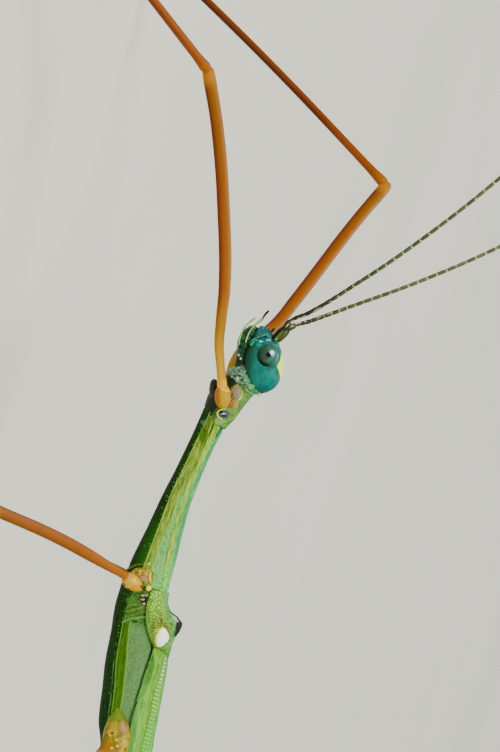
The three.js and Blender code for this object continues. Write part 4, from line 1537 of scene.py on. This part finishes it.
def buildWings():
    tegmenFinish, hindwingFinish = tegmenPaint(), hindwingPaint()
    for side, hand in sides.items():
        piece = wingSheet("tegmen" + side.title(), wings["tegmen"], hand, wings["hump"])
        degrees, behind, toEdge = (marks(piece, name) for name in ("degrees", "behind", "toEdge"))
        veins = np.zeros(len(degrees))
        for start in (8, 30, 42, 54):
            veins += bell(degrees, start + (behind - 14) * (6 - start * 0.14), 1.4) * ease(behind, 17.8, 17.0)
        mark(piece, "veins", veins)
        mark(piece, "spot", outlineReach(np.stack([behind, degrees], axis=1), wings["spot"], (0.7, 13)))
        press(piece, veins * 0.02 + bell(toEdge, 2.5, 1.6) * 0.03)
        roughen(piece, 0.25, 0.035, "VORONOI")
        thicken(piece)
        settle(piece, "wing_cover", tegmenFinish, "tegmen_" + side, angle=60)
        piece = wingSheet("hindwing" + side.title(), wings["hindwing"], hand)
        degrees, behind, toEdge = (marks(piece, name) for name in ("degrees", "behind", "toEdge"))
        lines = [valueAt(wingLines[name], behind) for name in ("ladder", "ladderEnd", "vein")]
        lines = [np.zeros(len(degrees)), *lines, degrees + toEdge]
        band = np.zeros(len(degrees))
        for low, high in zip(lines, lines[1:]):
            band += np.clip((degrees - low) / np.maximum(high - low, 1), 0, 1)
        mark(piece, "band", band)
        ridges = bell(band, 0.9, 0.07) * 0.05 + bell(band, 1.95, 0.06) * 0.02 + bell(band, 2.9, 0.08) * 0.03
        ridges += bell(toEdge, 1.5, 1.2) * 0.025 + bell(band, 0.45, 0.08) * 0.02
        ridges -= (bell(band, 1.5, 0.35) + bell(band, 2.45, 0.3) * 0.7) * 0.035
        ridges += bell((behind / wings["rungs"] + band * 0.35) % 1.0, 0.5, 0.2) * 0.015 * bell(band, 1.5, 0.4)
        press(piece, ridges * ease(behind, 16.4, 18.0))
        thicken(piece)
        settle(piece, "wing", hindwingFinish, "hindwing_" + side, angle=60)


buildWings()


# ---- abdomen
def abdomenHoop(behind):
    axis, tall, half = (float(valueAt(abdomen[key], behind)) for key in ("axis", "tall", "half"))
    return [-behind, axis + tall, -behind, axis - tall, half]


def ringRows(start, end, swell):
    # one ring, nipped at its front edge and flared a little over the next ring at its rear one
    shares = (0, 0.04, 0.1, 0.3, 0.55, 0.8, 0.93, 0.985, 1)
    swells = (-0.1, -0.05, -0.01, 0, 0, 0.02, 0.05, 0.055, -0.02)
    rows = []
    for share, grow in zip(shares, swells):
        row = abdomenHoop(start + (end - start) * share)
        grow *= swell
        rows.append([row[0], row[1] + grow, row[2], row[3] - grow, row[4] + grow])
    return rows


def abdomenPaint(name, late):
    paint = Paint(name)
    stripe, share = paint.marked("stripe"), paint.marked("share")
    fine = paint.noise(6.0, 3)
    cloud = paint.noise(0.8, 3)
    streak = paint.noise(1.0, 3, paint.stretched((1.0, 7, 7)))
    band = stripe + (streak - 0.5) * 0.12
    belly = streak.tint((24, 66, 12), (56, 104, 34))
    side = fine.tint((96, 140, 58), (132, 166, 84))
    back = cloud.tint((96, 150, 84), (128, 172, 108), 0.35, 0.7)
    grain = paint.cells(7)
    colour = paint.coats(
        belly,
        (side, band.rising(0.96, 1.12)),
        (paint.mix((116, 154, 96), (140, 176, 120), fine), band.rising(1.95, 2.15)),
        (back, band.rising(2.6, 3.2)),
        ((186, 206, 136), stripe.line(1.06, 0.08) * 0.7),
        ((164, 192, 120), stripe.line(1.98, 0.05) * 0.5),
        ((140, 118, 56), late * (cloud + stripe * 0.06).rising(0.4, 0.8)),
        ((70, 116, 52), share.falling(0.02, 0.09) * 0.8),
        ((156, 186, 112), share.line(0.955, 0.02) * 0.5),
        ((190, 212, 160), grain.falling(0.05, 0.18) * 0.35),
    )
    height = fine * 0.6 + grain.rising(0, 0.5) * 0.4
    return paint.surface(colour, 0.45 + fine * 0.15, height, 0.03, gloss=0.12)


def buildAbdomen():
    ends = abdomen["ends"]
    for number, (start, end) in enumerate(zip(ends[1:], ends[2:]), 1):
        name, node = "abdomen" + str(number + 1), "abdomen_" + str(number + 1)
        rows = ringRows(start, end, 1.0)
        piece = hoopTube(name, thorax["around"], leaningHoops(rows, 30))
        smoothen(piece, 1)
        squareOff(piece, rows, thorax["squareness"])
        stripe, behind, roundness = markSides(piece, rows)
        share = (behind - start) / (end - start)
        mark(piece, "share", share)
        relief = bell(stripe, 1.06, 0.08) * 0.05 + bell(stripe, 1.98, 0.08) * 0.025
        relief += bell(roundness, 0, 4) * 0.03
        relief -= bell(stripe, 1.5, 0.2) * 0.03
        press(piece, relief * ease(share, 0.02, 0.08) * ease(share, 1.0, 0.97))
        roughen(piece, 0.3, 0.04)
        settle(piece, "trunk_shell", abdomenPaint(name + "Green", max(0.0, (number - 5) * 0.12)), node)


tail = {
    "operculum": [
        [-61.65, 19.52, -61.65, 19.3, 0.46], [-62.6, 19.62, -62.5, 19.18, 0.7],
        [-64.0, 19.73, -63.8, 19.08, 0.82], [-67.0, 19.78, -66.6, 19.13, 0.72],
        [-69.0, 19.74, -68.9, 19.32, 0.5], [-69.85, 19.7, -69.85, 19.48, 0.24],
    ],
    "cercus": [(-68.2, 0.42, 20.3), (-69.0, 0.5, 20.33), (-69.7, 0.52, 20.32), (-70.45, 0.46, 20.28)],
    "cercusRows": [
        [0, 0.2, 0.22], [0.15, 0.24, 0.25], [0.5, 0.24, 0.24], [0.8, 0.19, 0.19], [0.96, 0.12, 0.12],
        [1, 0.05, 0.05],
    ],
}


def buildTail():
    # the plate under the tip that guards the egg opening, and the pair of short feelers above it
    plate = hoopTube("operculumPlate", 28, leaningHoops(tail["operculum"], 26))
    smoothen(plate, 2)
    points = pointsOf(plate)
    keel = bell(points[:, 1], 0, 0.07) * ease(points[:, 2], 19.5, 19.3) * 0.05
    press(plate, keel - bell(np.abs(points[:, 1]), 0.5, 0.07) * ease(points[:, 0], -62.2, -63) * 0.02)
    roughen(plate, 0.3, 0.03)
    paint = Paint("operculumGreen")
    x, y, z = paint.xyz()
    streak, fine = paint.noise(1.2, 3, paint.stretched((0.9, 6, 6))), paint.noise(8, 3)
    colour = streak.tint((64, 104, 30), (112, 142, 62), 0.35, 0.65)
    colour = paint.coats(
        colour,
        ((160, 182, 104), y.size().line(0.0, 0.06) * 0.6),
        ((132, 108, 52), (0 - x).rising(66.5, 69.8) * fine.rising(0.3, 0.6)),
    )
    settle(plate, "under_plate", paint.surface(colour, 0.45, fine, 0.02, gloss=0.15), "operculum")
    paint = Paint("cercusGreen")
    along, fine = paint.marked("along"), paint.noise(9, 3)
    colour = fine.tint((104, 132, 58), (142, 158, 88), 0.35, 0.65)
    colour = paint.mix(colour, (118, 88, 40), along.rising(0.6, 1.0) * 0.8)
    finish = paint.surface(colour, 0.45, fine, 0.015, gloss=0.15)
    for side, hand in sides.items():
        route = [(x, hand * y, z) for x, y, z in tail["cercus"]]
        cercus = limbTube("cercus" + side.title(), 18, route, tail["cercusRows"], 2)
        settle(cercus, "trunk_shell", finish, "cercus_" + side)


buildAbdomen()
buildTail()


# ---- neck and sockets
def shield(name, centre, radii, turn, lean, rim=0.0, hollow=0.0, rings=0.0, grain=0.0):
    # an oval plate that faces the side: turn is about the side axis and lean about the body's axis
    hand = 1 if centre[1] > 0 else -1
    piece = ball(name, (0, 0, 0), (radii[0], radii[2], radii[1]), 48, 32)
    piece.data.transform(Matrix.Rotation(math.radians(-90 * hand), 4, "X"))
    points = pointsOf(piece)
    reach = np.hypot(points[:, 0] / radii[0], points[:, 2] / radii[2])
    facing = ease(points[:, 1] * hand, -0.02, 0.04)
    mark(piece, "reach", reach)
    arc = np.hypot(points[:, 0] / radii[0], points[:, 2] / radii[2] + 0.9)
    mark(piece, "arc", arc)
    relief = bell(reach, 0.84, 0.1) * rim - ease(reach, 0.72, 0.4) * hollow
    relief += np.sin(arc * 15) * rings
    press(piece, relief * facing)
    turned = Matrix.Rotation(math.radians(lean), 4, "X") @ Matrix.Rotation(math.radians(turn), 4, "Y")
    piece.data.transform(Matrix.Translation(centre) @ turned)
    if grain:
        roughen(piece, 0.3, grain)
    return piece


def hoopRim(name, centre, radii, turn, lean, thick, arc=(0, 360)):
    # a raised rim along an oval that faces the side, all the way round or only over an arc of it
    turned = Matrix.Rotation(math.radians(lean), 4, "X") @ Matrix.Rotation(math.radians(turn), 4, "Y")
    # a whole ring stops one degree short, so that its ends don't meet
    last = arc[1] - 1 if arc[1] - arc[0] == 360 else arc[1]
    route = []
    for step in np.radians(np.linspace(arc[0], last, 13)):
        route.append(
            Vector(centre) + turned @ Vector((radii[0] * math.cos(step), 0, radii[1] * math.sin(step))),
        )
    thin = thick * 0.6
    return limbTube(
        name, 8, route, [[0, thin, thin], [0.1, thick, thick], [0.9, thick, thick], [1, thin, thin]], 1, 36,
    )


def mottledPaint(
    name, base, second, light=None, dark=None, scale=3.0, rough=0.4, depth=0.04, dabs=(), stretch=(1, 1, 1),
):
    paint = Paint(name)
    cloud, fine = paint.noise(scale, 3), paint.noise(scale * 3, 3, paint.stretched(stretch), 0.6)
    colour = paint.mix(base, second, cloud.rising(0.35, 0.65))
    if light:
        colour = paint.mix(colour, light, fine.rising(0.56, 0.68) * 0.7)
    if dark:
        colour = paint.mix(colour, dark, fine.falling(0.34, 0.44) * 0.8)
    colour = dabbed(paint, colour, dabs)
    return paint.surface(colour, rough, fine, depth, gloss=0.18, Coat_Weight=0.08, Coat_Roughness=0.2)


def rosePaint(name, shades, dabs=()):
    # ringed like the folds round a joint
    paint = Paint(name)
    reach, arc = paint.marked("reach"), paint.marked("arc")
    fine, cloud = paint.noise(6, 3), paint.noise(2.4, 3)
    arcs = ((arc + (cloud - 0.5) * 0.12) * 15).wave() * 0.5 + 0.5
    colour = paint.coats(
        shades[0],
        (shades[1], arcs.rising(0.2, 0.8)),
        (shades[2], reach.rising(0.8, 0.92) * arc.rising(1.1, 1.5) * fine.rising(0.3, 0.5)),
    )
    colour = dabbed(paint, colour, dabs)
    return paint.surface(colour, 0.45, arcs * 0.5 + fine * 0.5, 0.03, gloss=0.15)


neckDabs = {
    # on the neck, the first four dark marks are painted shade in a fold and the white one after them is a
    # painted highlight
    "neck": [
        [1.27, 17.96, 0.13, 0.1, (20, 45, 20), 0.85], [1.38, 18.1, 0.08, 0.11, (20, 45, 20), 0.85],
        [1.37, 18.28, 0.1, 0.11, (20, 45, 20), 0.85], [1.15, 18.49, 0.15, 0.09, (20, 45, 20), 0.85],
        [1.16, 18.21, 0.12, 0.06, (225, 235, 215), 0.8], [0.28, 19.4, 0.11, 0.24, (130, 170, 120), 0.7],
        [1.23, 18.75, 0.13, 0.13, (140, 190, 150), 0.8], [1.17, 19.02, 0.13, 0.15, (140, 190, 150), 0.8],
        [1.05, 19.3, 0.13, 0.15, (140, 190, 150), 0.8], [0.88, 19.56, 0.15, 0.13, (140, 190, 150), 0.8],
    ],
    "oval": [
        [0.83, 18.98, 0.14, 0.12, (12, 26, 12), 0.9], [0.87, 19.2, 0.13, 0.14, (150, 184, 144), 0.6],
        [0.63, 19.44, 0.14, 0.16, (74, 150, 110), 0.8],
    ],
    "bulge": [[0.3, 18.05, 0.2, 0.1, (196, 190, 150), 0.6]],
    "spiracle": [
        [-1.3, 17.76, 0.16, 0.16, (4, 8, 6), 0.95], [-1.5, 18.0, 0.1, 0.3, (6, 14, 8), 0.9],
        [-1.28, 18.12, 0.13, 0.16, (92, 124, 118), 0.8], [-1.36, 17.98, 0.04, 0.14, (214, 222, 214), 0.7],
        [-1.12, 17.72, 0.05, 0.2, (214, 184, 160), 0.8],
    ],
}


neckShades = {
    "base": (104, 136, 112),
    "second": (138, 166, 142),
    "light": (194, 212, 194),
    "dark": (32, 60, 40),
    "scale": 2.4,
    "depth": 0.06,
    "dabs": neckDabs["neck"],
    "stretch": (1.3, 1.3, 0.45),
}
# ovals and rims that face the side, as [name, centre, radii, turn, lean, slot, relief]
sidePlates = [
    ["cervicalPlate", (0.75, 0.7, 19.25), (0.62, 0.2, 0.27), 84, 44, "neck_skin", {"hollow": 0.03}],
    ["cervicalRim", (0.75, 0.82, 19.37), (0.6, 0.26), 84, 44, "neck_skin", {"thick": 0.028}],
    ["socketBulge", (0.22, 0.84, 18.38), (0.56, 0.33, 0.4), 17, 13, "leg_root", {"rings": 0.014}],
    ["socketFold", (-0.5, 0.84, 18.34), (0.33, 0.28, 0.32), 17, 18, "leg_root", {"rings": 0.012}],
    ["socketWall", (0.0, 0.85, 16.88), (0.72, 0.42, 0.34), 17, 14, "leg_root", {"grain": 0.06}],
    [
        "spiracle", (-1.36, 0.86, 17.96), (0.33, 0.16, 0.46), 17, 22, "trunk_shell",
        {"rim": 0.02, "hollow": 0.07},
    ],
    [
        "spiracleRim", (-1.36, 0.95, 18.0), (0.31, 0.44), 17, 22, "trunk_shell",
        {"thick": 0.04, "arc": (195, 385)},
    ],
    ["pleuralPlate", (-1.9, 0.84, 17.84), (0.3, 0.14, 0.35), 17, 23, "trunk_shell", {"rim": 0.02}],
]


def sidePlateFinishes():
    rose = ((152, 138, 108), (172, 160, 140), (206, 216, 160))
    brown = ((164, 128, 84), (190, 158, 112), (222, 204, 150))
    oval = {"dark": (30, 50, 30), "scale": 4.0, "depth": 0.03, "dabs": neckDabs["oval"]}
    hole = {"scale": 4.0, "rough": 0.35, "depth": 0.03, "dabs": neckDabs["spiracle"]}
    return {
        "cervicalPlate": mottledPaint("cervicalPlateGreen", (84, 116, 76), (128, 162, 124), **oval),
        "cervicalRim": mottledPaint("cervicalRim", (164, 196, 150), (182, 212, 168)),
        "spiracle": mottledPaint("spiracleGrey", (60, 84, 76), (104, 130, 124), **hole),
        "spiracleRim": mottledPaint("spiracleRim", (214, 222, 158), (230, 236, 178)),
        "socketBulge": rosePaint("socketRose", rose, neckDabs["bulge"]),
        "socketFold": rosePaint("socketBrown", brown),
        "socketWall": mottledPaint("socketWallBrown", (34, 26, 0), (56, 42, 4)),
        "pleuralPlate": mottledPaint(
            "pleuralPlateGrey", (124, 156, 108), (160, 184, 128), scale=2.0, rough=0.5, depth=0.03,
        ),
    }


def buildNeck():
    neck = hoopTube("neckSkin", 36, leaningHoops(thorax["neck"], 14))
    smoothen(neck, 2)
    points = pointsOf(neck)
    folds = np.sin((points[:, 0] * 0.85 - points[:, 2] * 0.4) * 21) * 0.02
    press(neck, folds)
    roughen(neck, 0.3, 0.1)
    settle(neck, "neck_skin", mottledPaint("neckGrey", **neckShades), "neck")
    finishes = sidePlateFinishes()
    for side, hand in sides.items():
        for name, (x, y, z), radii, turn, lean, slot, relief in sidePlates:
            make = hoopRim if "thick" in relief else shield
            piece = make(name + side.title(), (x, hand * y, z), radii, turn, hand * lean, **relief)
            settle(piece, slot, finishes[name])


# ---- leg roots
roots = {
    "fore": {"centre": (-0.26, 1.33, 17.66), "radii": (0.84, 0.56, 0.55)},
    "mid": {"centre": (-13.3, 1.32, 15.98), "radii": (0.62, 0.5, 0.84)},
    # the hind coxa is pear-shaped, with its narrow end to the front
    "hind": [
        (-21.95, 1.32, 17.06), (-22.5, 1.42, 17.2), (-23.4, 1.5, 17.42), (-24.6, 1.55, 17.7),
        (-25.7, 1.6, 17.95),
    ],
    "hindRows": [
        [0, 0.16, 0.12], [0.08, 0.38, 0.32], [0.2, 0.58, 0.58], [0.4, 0.7, 0.86], [0.6, 0.72, 0.92],
        [0.85, 0.62, 0.8], [1, 0.3, 0.4],
    ],
    # the middle leg's trochanter tapers from the femur to a point on the side
    "midTrochanter": [
        (-14.08, 1.72, 16.36), (-13.92, 1.98, 15.95), (-13.78, 2.12, 15.5), (-13.6, 2.42, 15.08),
    ],
    "midTrochanterRows": [
        [0, 0.1, 0.1], [0.12, 0.28, 0.26], [0.35, 0.5, 0.46], [0.6, 0.6, 0.54], [0.85, 0.5, 0.46],
        [1, 0.38, 0.36],
    ],
    "hindTrochanter": [(-24.7, 1.6, 17.4), (-25.1, 2.1, 17.3), (-25.6, 2.75, 17.22), (-26.4, 3.7, 17.24)],
    "hindTrochanterRows": [
        [0, 0.5, 0.5], [0.3, 0.66, 0.62], [0.6, 0.6, 0.58], [0.85, 0.44, 0.44], [1, 0.36, 0.36],
    ],
    # small folds of skin behind the middle joint
    "lumps": [(-14.42, 1.5, 16.55, 0.17), (-14.72, 1.5, 16.5, 0.11), (-14.98, 1.49, 16.66, 0.12)],
}


def mirrored(points, hand):
    return [(x, hand * y, z) for x, y, z in points]


rootDabs = {
    # the small pale mark at x 0.47 is a painted highlight
    "fore": [
        [0.02, 17.23, 0.93, 0.16, (185, 120, 5), 0.7], [0.79, 17.03, 0.13, 0.14, (130, 75, 0), 0.8],
        [0.58, 17.69, 0.4, 0.4, (225, 170, 125), 0.85], [0.66, 17.95, 0.33, 0.12, (205, 195, 130), 0.7],
        [0.35, 17.41, 0.17, 0.08, (255, 210, 120), 0.8], [0.17, 17.61, 0.08, 0.12, (255, 210, 120), 0.8],
        [0.17, 17.89, 0.08, 0.17, (255, 210, 120), 0.8], [0.47, 16.98, 0.07, 0.07, (240, 220, 160), 0.8],
    ],
    # the two cream marks at x -13.17 and x -13.6 are painted highlights
    "midTrochanter": [
        [-13.56, 15.01, 0.43, 0.24, (206, 154, 40), 0.85], [-13.55, 15.5, 0.33, 0.4, (206, 172, 116), 0.8],
        [-13.17, 15.17, 0.09, 0.14, (240, 215, 160), 0.9], [-13.6, 15.8, 0.15, 0.11, (235, 205, 150), 0.8],
        [-14.06, 16.08, 0.2, 0.24, (210, 160, 30), 0.9], [-13.9, 16.39, 0.2, 0.15, (70, 45, 0), 0.85],
        [-14.13, 15.19, 0.17, 0.16, (80, 40, 0), 0.85], [-14.37, 15.54, 0.17, 0.17, (80, 40, 0), 0.85],
        [-14.61, 15.9, 0.17, 0.19, (80, 40, 0), 0.85],
    ],
    "mid": [
        [-13.15, 15.44, 0.06, 0.06, (230, 215, 160), 0.8],
        [-12.96, 15.84, 0.06, 0.06, (230, 215, 160), 0.8],
        [-12.96, 16.27, 0.06, 0.06, (230, 215, 160), 0.8],
        [-13.32, 16.24, 0.21, 0.26, (190, 164, 146), 0.6], [-13.2, 16.62, 0.5, 0.06, (226, 208, 124), 0.7],
    ],
    # the cream marks at x -23.91, -24.08, -24.67 and -24.44 are painted highlights
    "hind": [
        [-22.26, 17.14, 0.86, 0.8, (118, 148, 50), 0.85], [-23.49, 16.77, 0.43, 0.3, (120, 96, 20), 0.35],
        [-23.3, 17.35, 0.43, 0.27, (186, 166, 72), 0.6], [-23.12, 17.93, 0.43, 0.3, (176, 146, 114), 0.55],
        [-23.91, 17.19, 0.07, 0.12, (230, 205, 150), 0.7],
        [-24.08, 17.73, 0.07, 0.12, (230, 205, 150), 0.7], [-23.72, 17.34, 0.1, 0.11, (50, 40, 0), 0.85],
        [-24.75, 17.16, 0.33, 0.21, (176, 122, 44), 0.5], [-24.75, 17.94, 0.15, 0.33, (190, 140, 100), 0.5],
        [-24.67, 17.63, 0.08, 0.1, (240, 224, 160), 0.75],
        [-24.44, 17.92, 0.08, 0.1, (240, 224, 160), 0.75], [-24.28, 18.22, 0.24, 0.17, (190, 170, 70), 0.8],
    ],
}


def foreCoxaPaint():
    paint = Paint("foreCoxaYellow")
    x, _, z = paint.xyz()
    fine, cloud = paint.noise(6, 3), paint.noise(1.8, 3)
    along, across = leaning(x + 0.26, z - 17.66)
    # lighter yellow towards the back and darker orange towards the belly, partly painted shade
    colour = paint.coats(
        (172, 122, 0),
        ((194, 160, 0), (across + (cloud - 0.5) * 0.3).rising(-0.4, 0.1)),
        ((206, 172, 30), along.rising(0.3, 0.7) * 0.7),
    )
    colour = dabbed(paint, colour, rootDabs["fore"])
    return paint.surface(colour, 0.4, fine * 0.5 + cloud * 0.5, 0.04, gloss=0.12)


def buildRoots():
    fore = foreCoxaPaint()
    brown = mottledPaint(
        "midCoxaBrown", (142, 118, 44), (184, 156, 92), (236, 220, 168), (74, 64, 10), 3.6, 0.45, 0.07,
        rootDabs["mid"],
    )
    trochanter = mottledPaint(
        "midTrochanterOrange",
        (184, 150, 26),
        (208, 176, 78),
        scale=2.2,
        rough=0.42,
        depth=0.03,
        dabs=rootDabs["midTrochanter"],
    )
    knob = mottledPaint("jointAmber", (226, 196, 72), (244, 220, 112), scale=2.5, rough=0.35, depth=0.02)
    # mauve grey skin, whose near-white flecks are painted highlights
    glintedLumps = mottledPaint(
        "jointSilver", (150, 124, 96), (204, 184, 160), (240, 236, 226), (40, 34, 8), 4.2, 0.3, 0.05,
    )
    hind = mottledPaint(
        "hindCoxaBrown",
        (150, 128, 44),
        (194, 172, 90),
        dark=(104, 82, 14),
        scale=1.5,
        rough=0.42,
        depth=0.07,
        dabs=rootDabs["hind"],
    )
    hindJoint = mottledPaint(
        "hindTrochanterRose",
        (178, 128, 50),
        (200, 156, 92),
        dark=(150, 80, 10),
        scale=2.0,
        rough=0.42,
        depth=0.05,
        dabs=rootDabs["hind"],
    )
    for side, hand in sides.items():
        label = side.title()
        pieces = {}
        route = mirrored(roots["hind"], hand)
        pieces["hind"] = limbTube("hind" + label + "Coxa", 32, route, roots["hindRows"], 2, 30)
        roughen(pieces["hind"], 0.4, 0.08)
        for pair in ("fore", "mid"):
            root = roots[pair]
            centre = (root["centre"][0], hand * root["centre"][1], root["centre"][2])
            pieces[pair] = ball(
                pair + label + "Coxa", centre, root["radii"], 64, 48, (0, math.radians(layout["lean"]), 0),
            )
            roughen(pieces[pair], 0.4, 0.08 if pair == "mid" else 0.04)
        settle(pieces["fore"], "leg_root", fore, "fore_" + side + "_coxa")
        settle(pieces["mid"], "leg_root", brown, "mid_" + side + "_coxa")
        settle(pieces["hind"], "leg_root", hind, "hind_" + side + "_coxa")
        cone = limbTube(
            "mid" + label + "Trochanter",
            28,
            mirrored(roots["midTrochanter"], hand),
            roots["midTrochanterRows"],
            3,
        )
        roughen(cone, 0.3, 0.03)
        settle(cone, "leg_root", trochanter)
        cone = limbTube(
            "hind" + label + "Trochanter",
            28,
            mirrored(roots["hindTrochanter"], hand),
            roots["hindTrochanterRows"],
            3,
        )
        roughen(cone, 0.35, 0.06)
        settle(cone, "leg_root", hindJoint)
        stud = ball("mid" + label + "JointStud", (-13.88, hand * 1.66, 16.72), (0.19, 0.17, 0.19), 24, 16)
        settle(stud, "leg_root", knob)
        lumps = []
        for x, y, z, size in roots["lumps"]:
            lumps.append(
                ball("lump", (x, hand * y, z), (size * 0.62, size * 0.7, size * 1.5), 20, 14, (0, 0.35, 0)),
            )
        lumps = joinInto(*lumps)
        lumps.name = "mid" + label + "JointLumps"
        roughen(lumps, 0.2, 0.05)
        settle(lumps, "leg_root", glintedLumps)


# ---- granules along the edges of the belly
def granules(name, places, sizes, material, slot):
    # one small rounded grain, set down at every place and joined into one piece
    deselectAll()
    bpy.ops.mesh.primitive_ico_sphere_add(subdivisions=1, radius=1)
    grain = bpy.context.object
    corners = pointsOf(grain)
    faces = np.array([face.vertices[:] for face in grain.data.polygons])
    bpy.data.objects.remove(grain)
    places, sizes = np.array(places), np.array(sizes)
    points = (corners[None] * sizes[:, None, None] + places[:, None]).reshape(-1, 3)
    every = (faces[None] + np.arange(len(places))[:, None, None] * len(corners)).reshape(-1, 3)
    mesh = bpy.data.meshes.new(name)
    mesh.from_pydata(points.tolist(), [], every.tolist())
    piece = bpy.data.objects.new(name, mesh)
    bpy.context.scene.collection.objects.link(piece)
    return settle(piece, slot, material)


def onTrunk(rows, behind, degrees, hand):
    middle, tall, half = (float(valueAt(column, -behind)) for column in axisOf(rows))
    turn = math.radians(degrees)
    square = 1 + thorax["squareness"] * math.sin(2 * turn) ** 2
    return (-behind, hand * half * math.sin(turn) * square, middle + tall * math.cos(turn) * square)


def buildGranules():
    chance = random.Random(7)
    paint = Paint("granulePale")
    shade = paint.noise(0.9, 1)
    colour = paint.mix((120, 156, 110), (190, 208, 180), shade)
    finish = paint.surface(colour, 0.35, paint.noise(9), 0.004)
    for name, rows, start, end, count in (
        ("mesothorax", thorax["mesothorax"], 1.8, 12.6, 90),
        ("metathorax", thorax["metathorax"], 14.2, 22.6, 60),
    ):
        for side, hand in sides.items():
            places, sizes = [], []
            for _ in range(count):
                behind = chance.uniform(start, end)
                line = float(valueAt(sideLines["sternum"], behind))
                close = chance.random() < 0.55
                degrees = line + (abs(chance.gauss(0, 4)) + 3 if close else chance.uniform(4, 75))
                places.append(onTrunk(rows, behind, min(degrees, 178), hand))
                sizes.append(chance.uniform(0.016, 0.03) if close else chance.uniform(0.012, 0.022))
            granules(name + "Granules" + side.title(), places, sizes, finish, "trunk_shell")


buildNeck()
buildRoots()
buildGranules()


# ---- stage
stage = {
    "above": 10,  # degrees the camera looks down
    "target": Vector((1.5608, 0, 18.7796)),
    "distance": 300,
    "pixelsPerMillimetre": 15,
    "frameHeight": 752,
    "sensor": 36,
}


def inFrame(point):
    return Vector(point) * layout["unit"] + frameShift


def addCamera():
    above = math.radians(stage["above"])
    roll = math.radians(layout["lean"])
    view = Vector((0, -math.cos(above), -math.sin(above)))
    upright = Vector((0, -math.sin(above), math.cos(above)))
    ahead = Vector((1, 0, 0))
    right = math.sin(roll) * ahead + math.cos(roll) * upright
    up = math.cos(roll) * ahead - math.sin(roll) * upright
    place = inFrame(stage["target"] - view * stage["distance"])
    data = bpy.data.cameras.new("camera")
    data.sensor_fit = "VERTICAL"
    data.sensor_height = stage["sensor"]
    data.lens = stage["sensor"] * stage["pixelsPerMillimetre"] * stage["distance"] / stage["frameHeight"]
    data.clip_start = 0.01
    data.clip_end = 20
    camera = bpy.data.objects.new("camera", data)
    bpy.context.scene.collection.objects.link(camera)
    turned = Matrix((right, up, -view)).transposed().to_4x4()
    camera.matrix_world = Matrix.Translation(place) @ turned
    bpy.context.scene.camera = camera


def addLight(name, spot, aim, size, power, colour=(1, 1, 1)):
    data = bpy.data.lights.new(name, "AREA")
    data.shape = "DISK"
    data.size = size
    data.energy = power
    data.color = colour
    light = bpy.data.objects.new(name, data)
    bpy.context.scene.collection.objects.link(light)
    light.location = spot
    light.rotation_euler = (Vector(aim) - Vector(spot)).to_track_quat("-Z", "Y").to_euler()


def addStage():
    deselectAll()
    bpy.ops.mesh.primitive_plane_add(size=6)
    floor = bpy.context.object
    floor.name = "floor"
    paint = Paint("floorPaper")
    mottle = paint.noise(0.02, 3)
    colour = paint.mix((204, 204, 198), (212, 211, 206), mottle)
    floor.data.materials.append(paint.surface(colour, 0.85))
    addLight("keyLight", (0.25, 0.35, 0.62), (0, 0, 0.02), 0.35, 6.6, (1, 0.98, 0.95))
    addLight("fillLight", (-0.4, 0.5, 0.25), (0, 0, 0.02), 0.5, 2.0, (0.95, 0.98, 1))
    addLight("backLight", (0.1, -0.6, 0.5), (0, 0, 0.02), 0.5, 2.8)
    world = bpy.data.worlds.new("studio")
    world.use_nodes = True
    world.node_tree.nodes["Background"].inputs["Color"].default_value = (0.9, 0.93, 1, 1)
    world.node_tree.nodes["Background"].inputs["Strength"].default_value = 0.32
    bpy.context.scene.world = world


addCamera()
addStage()
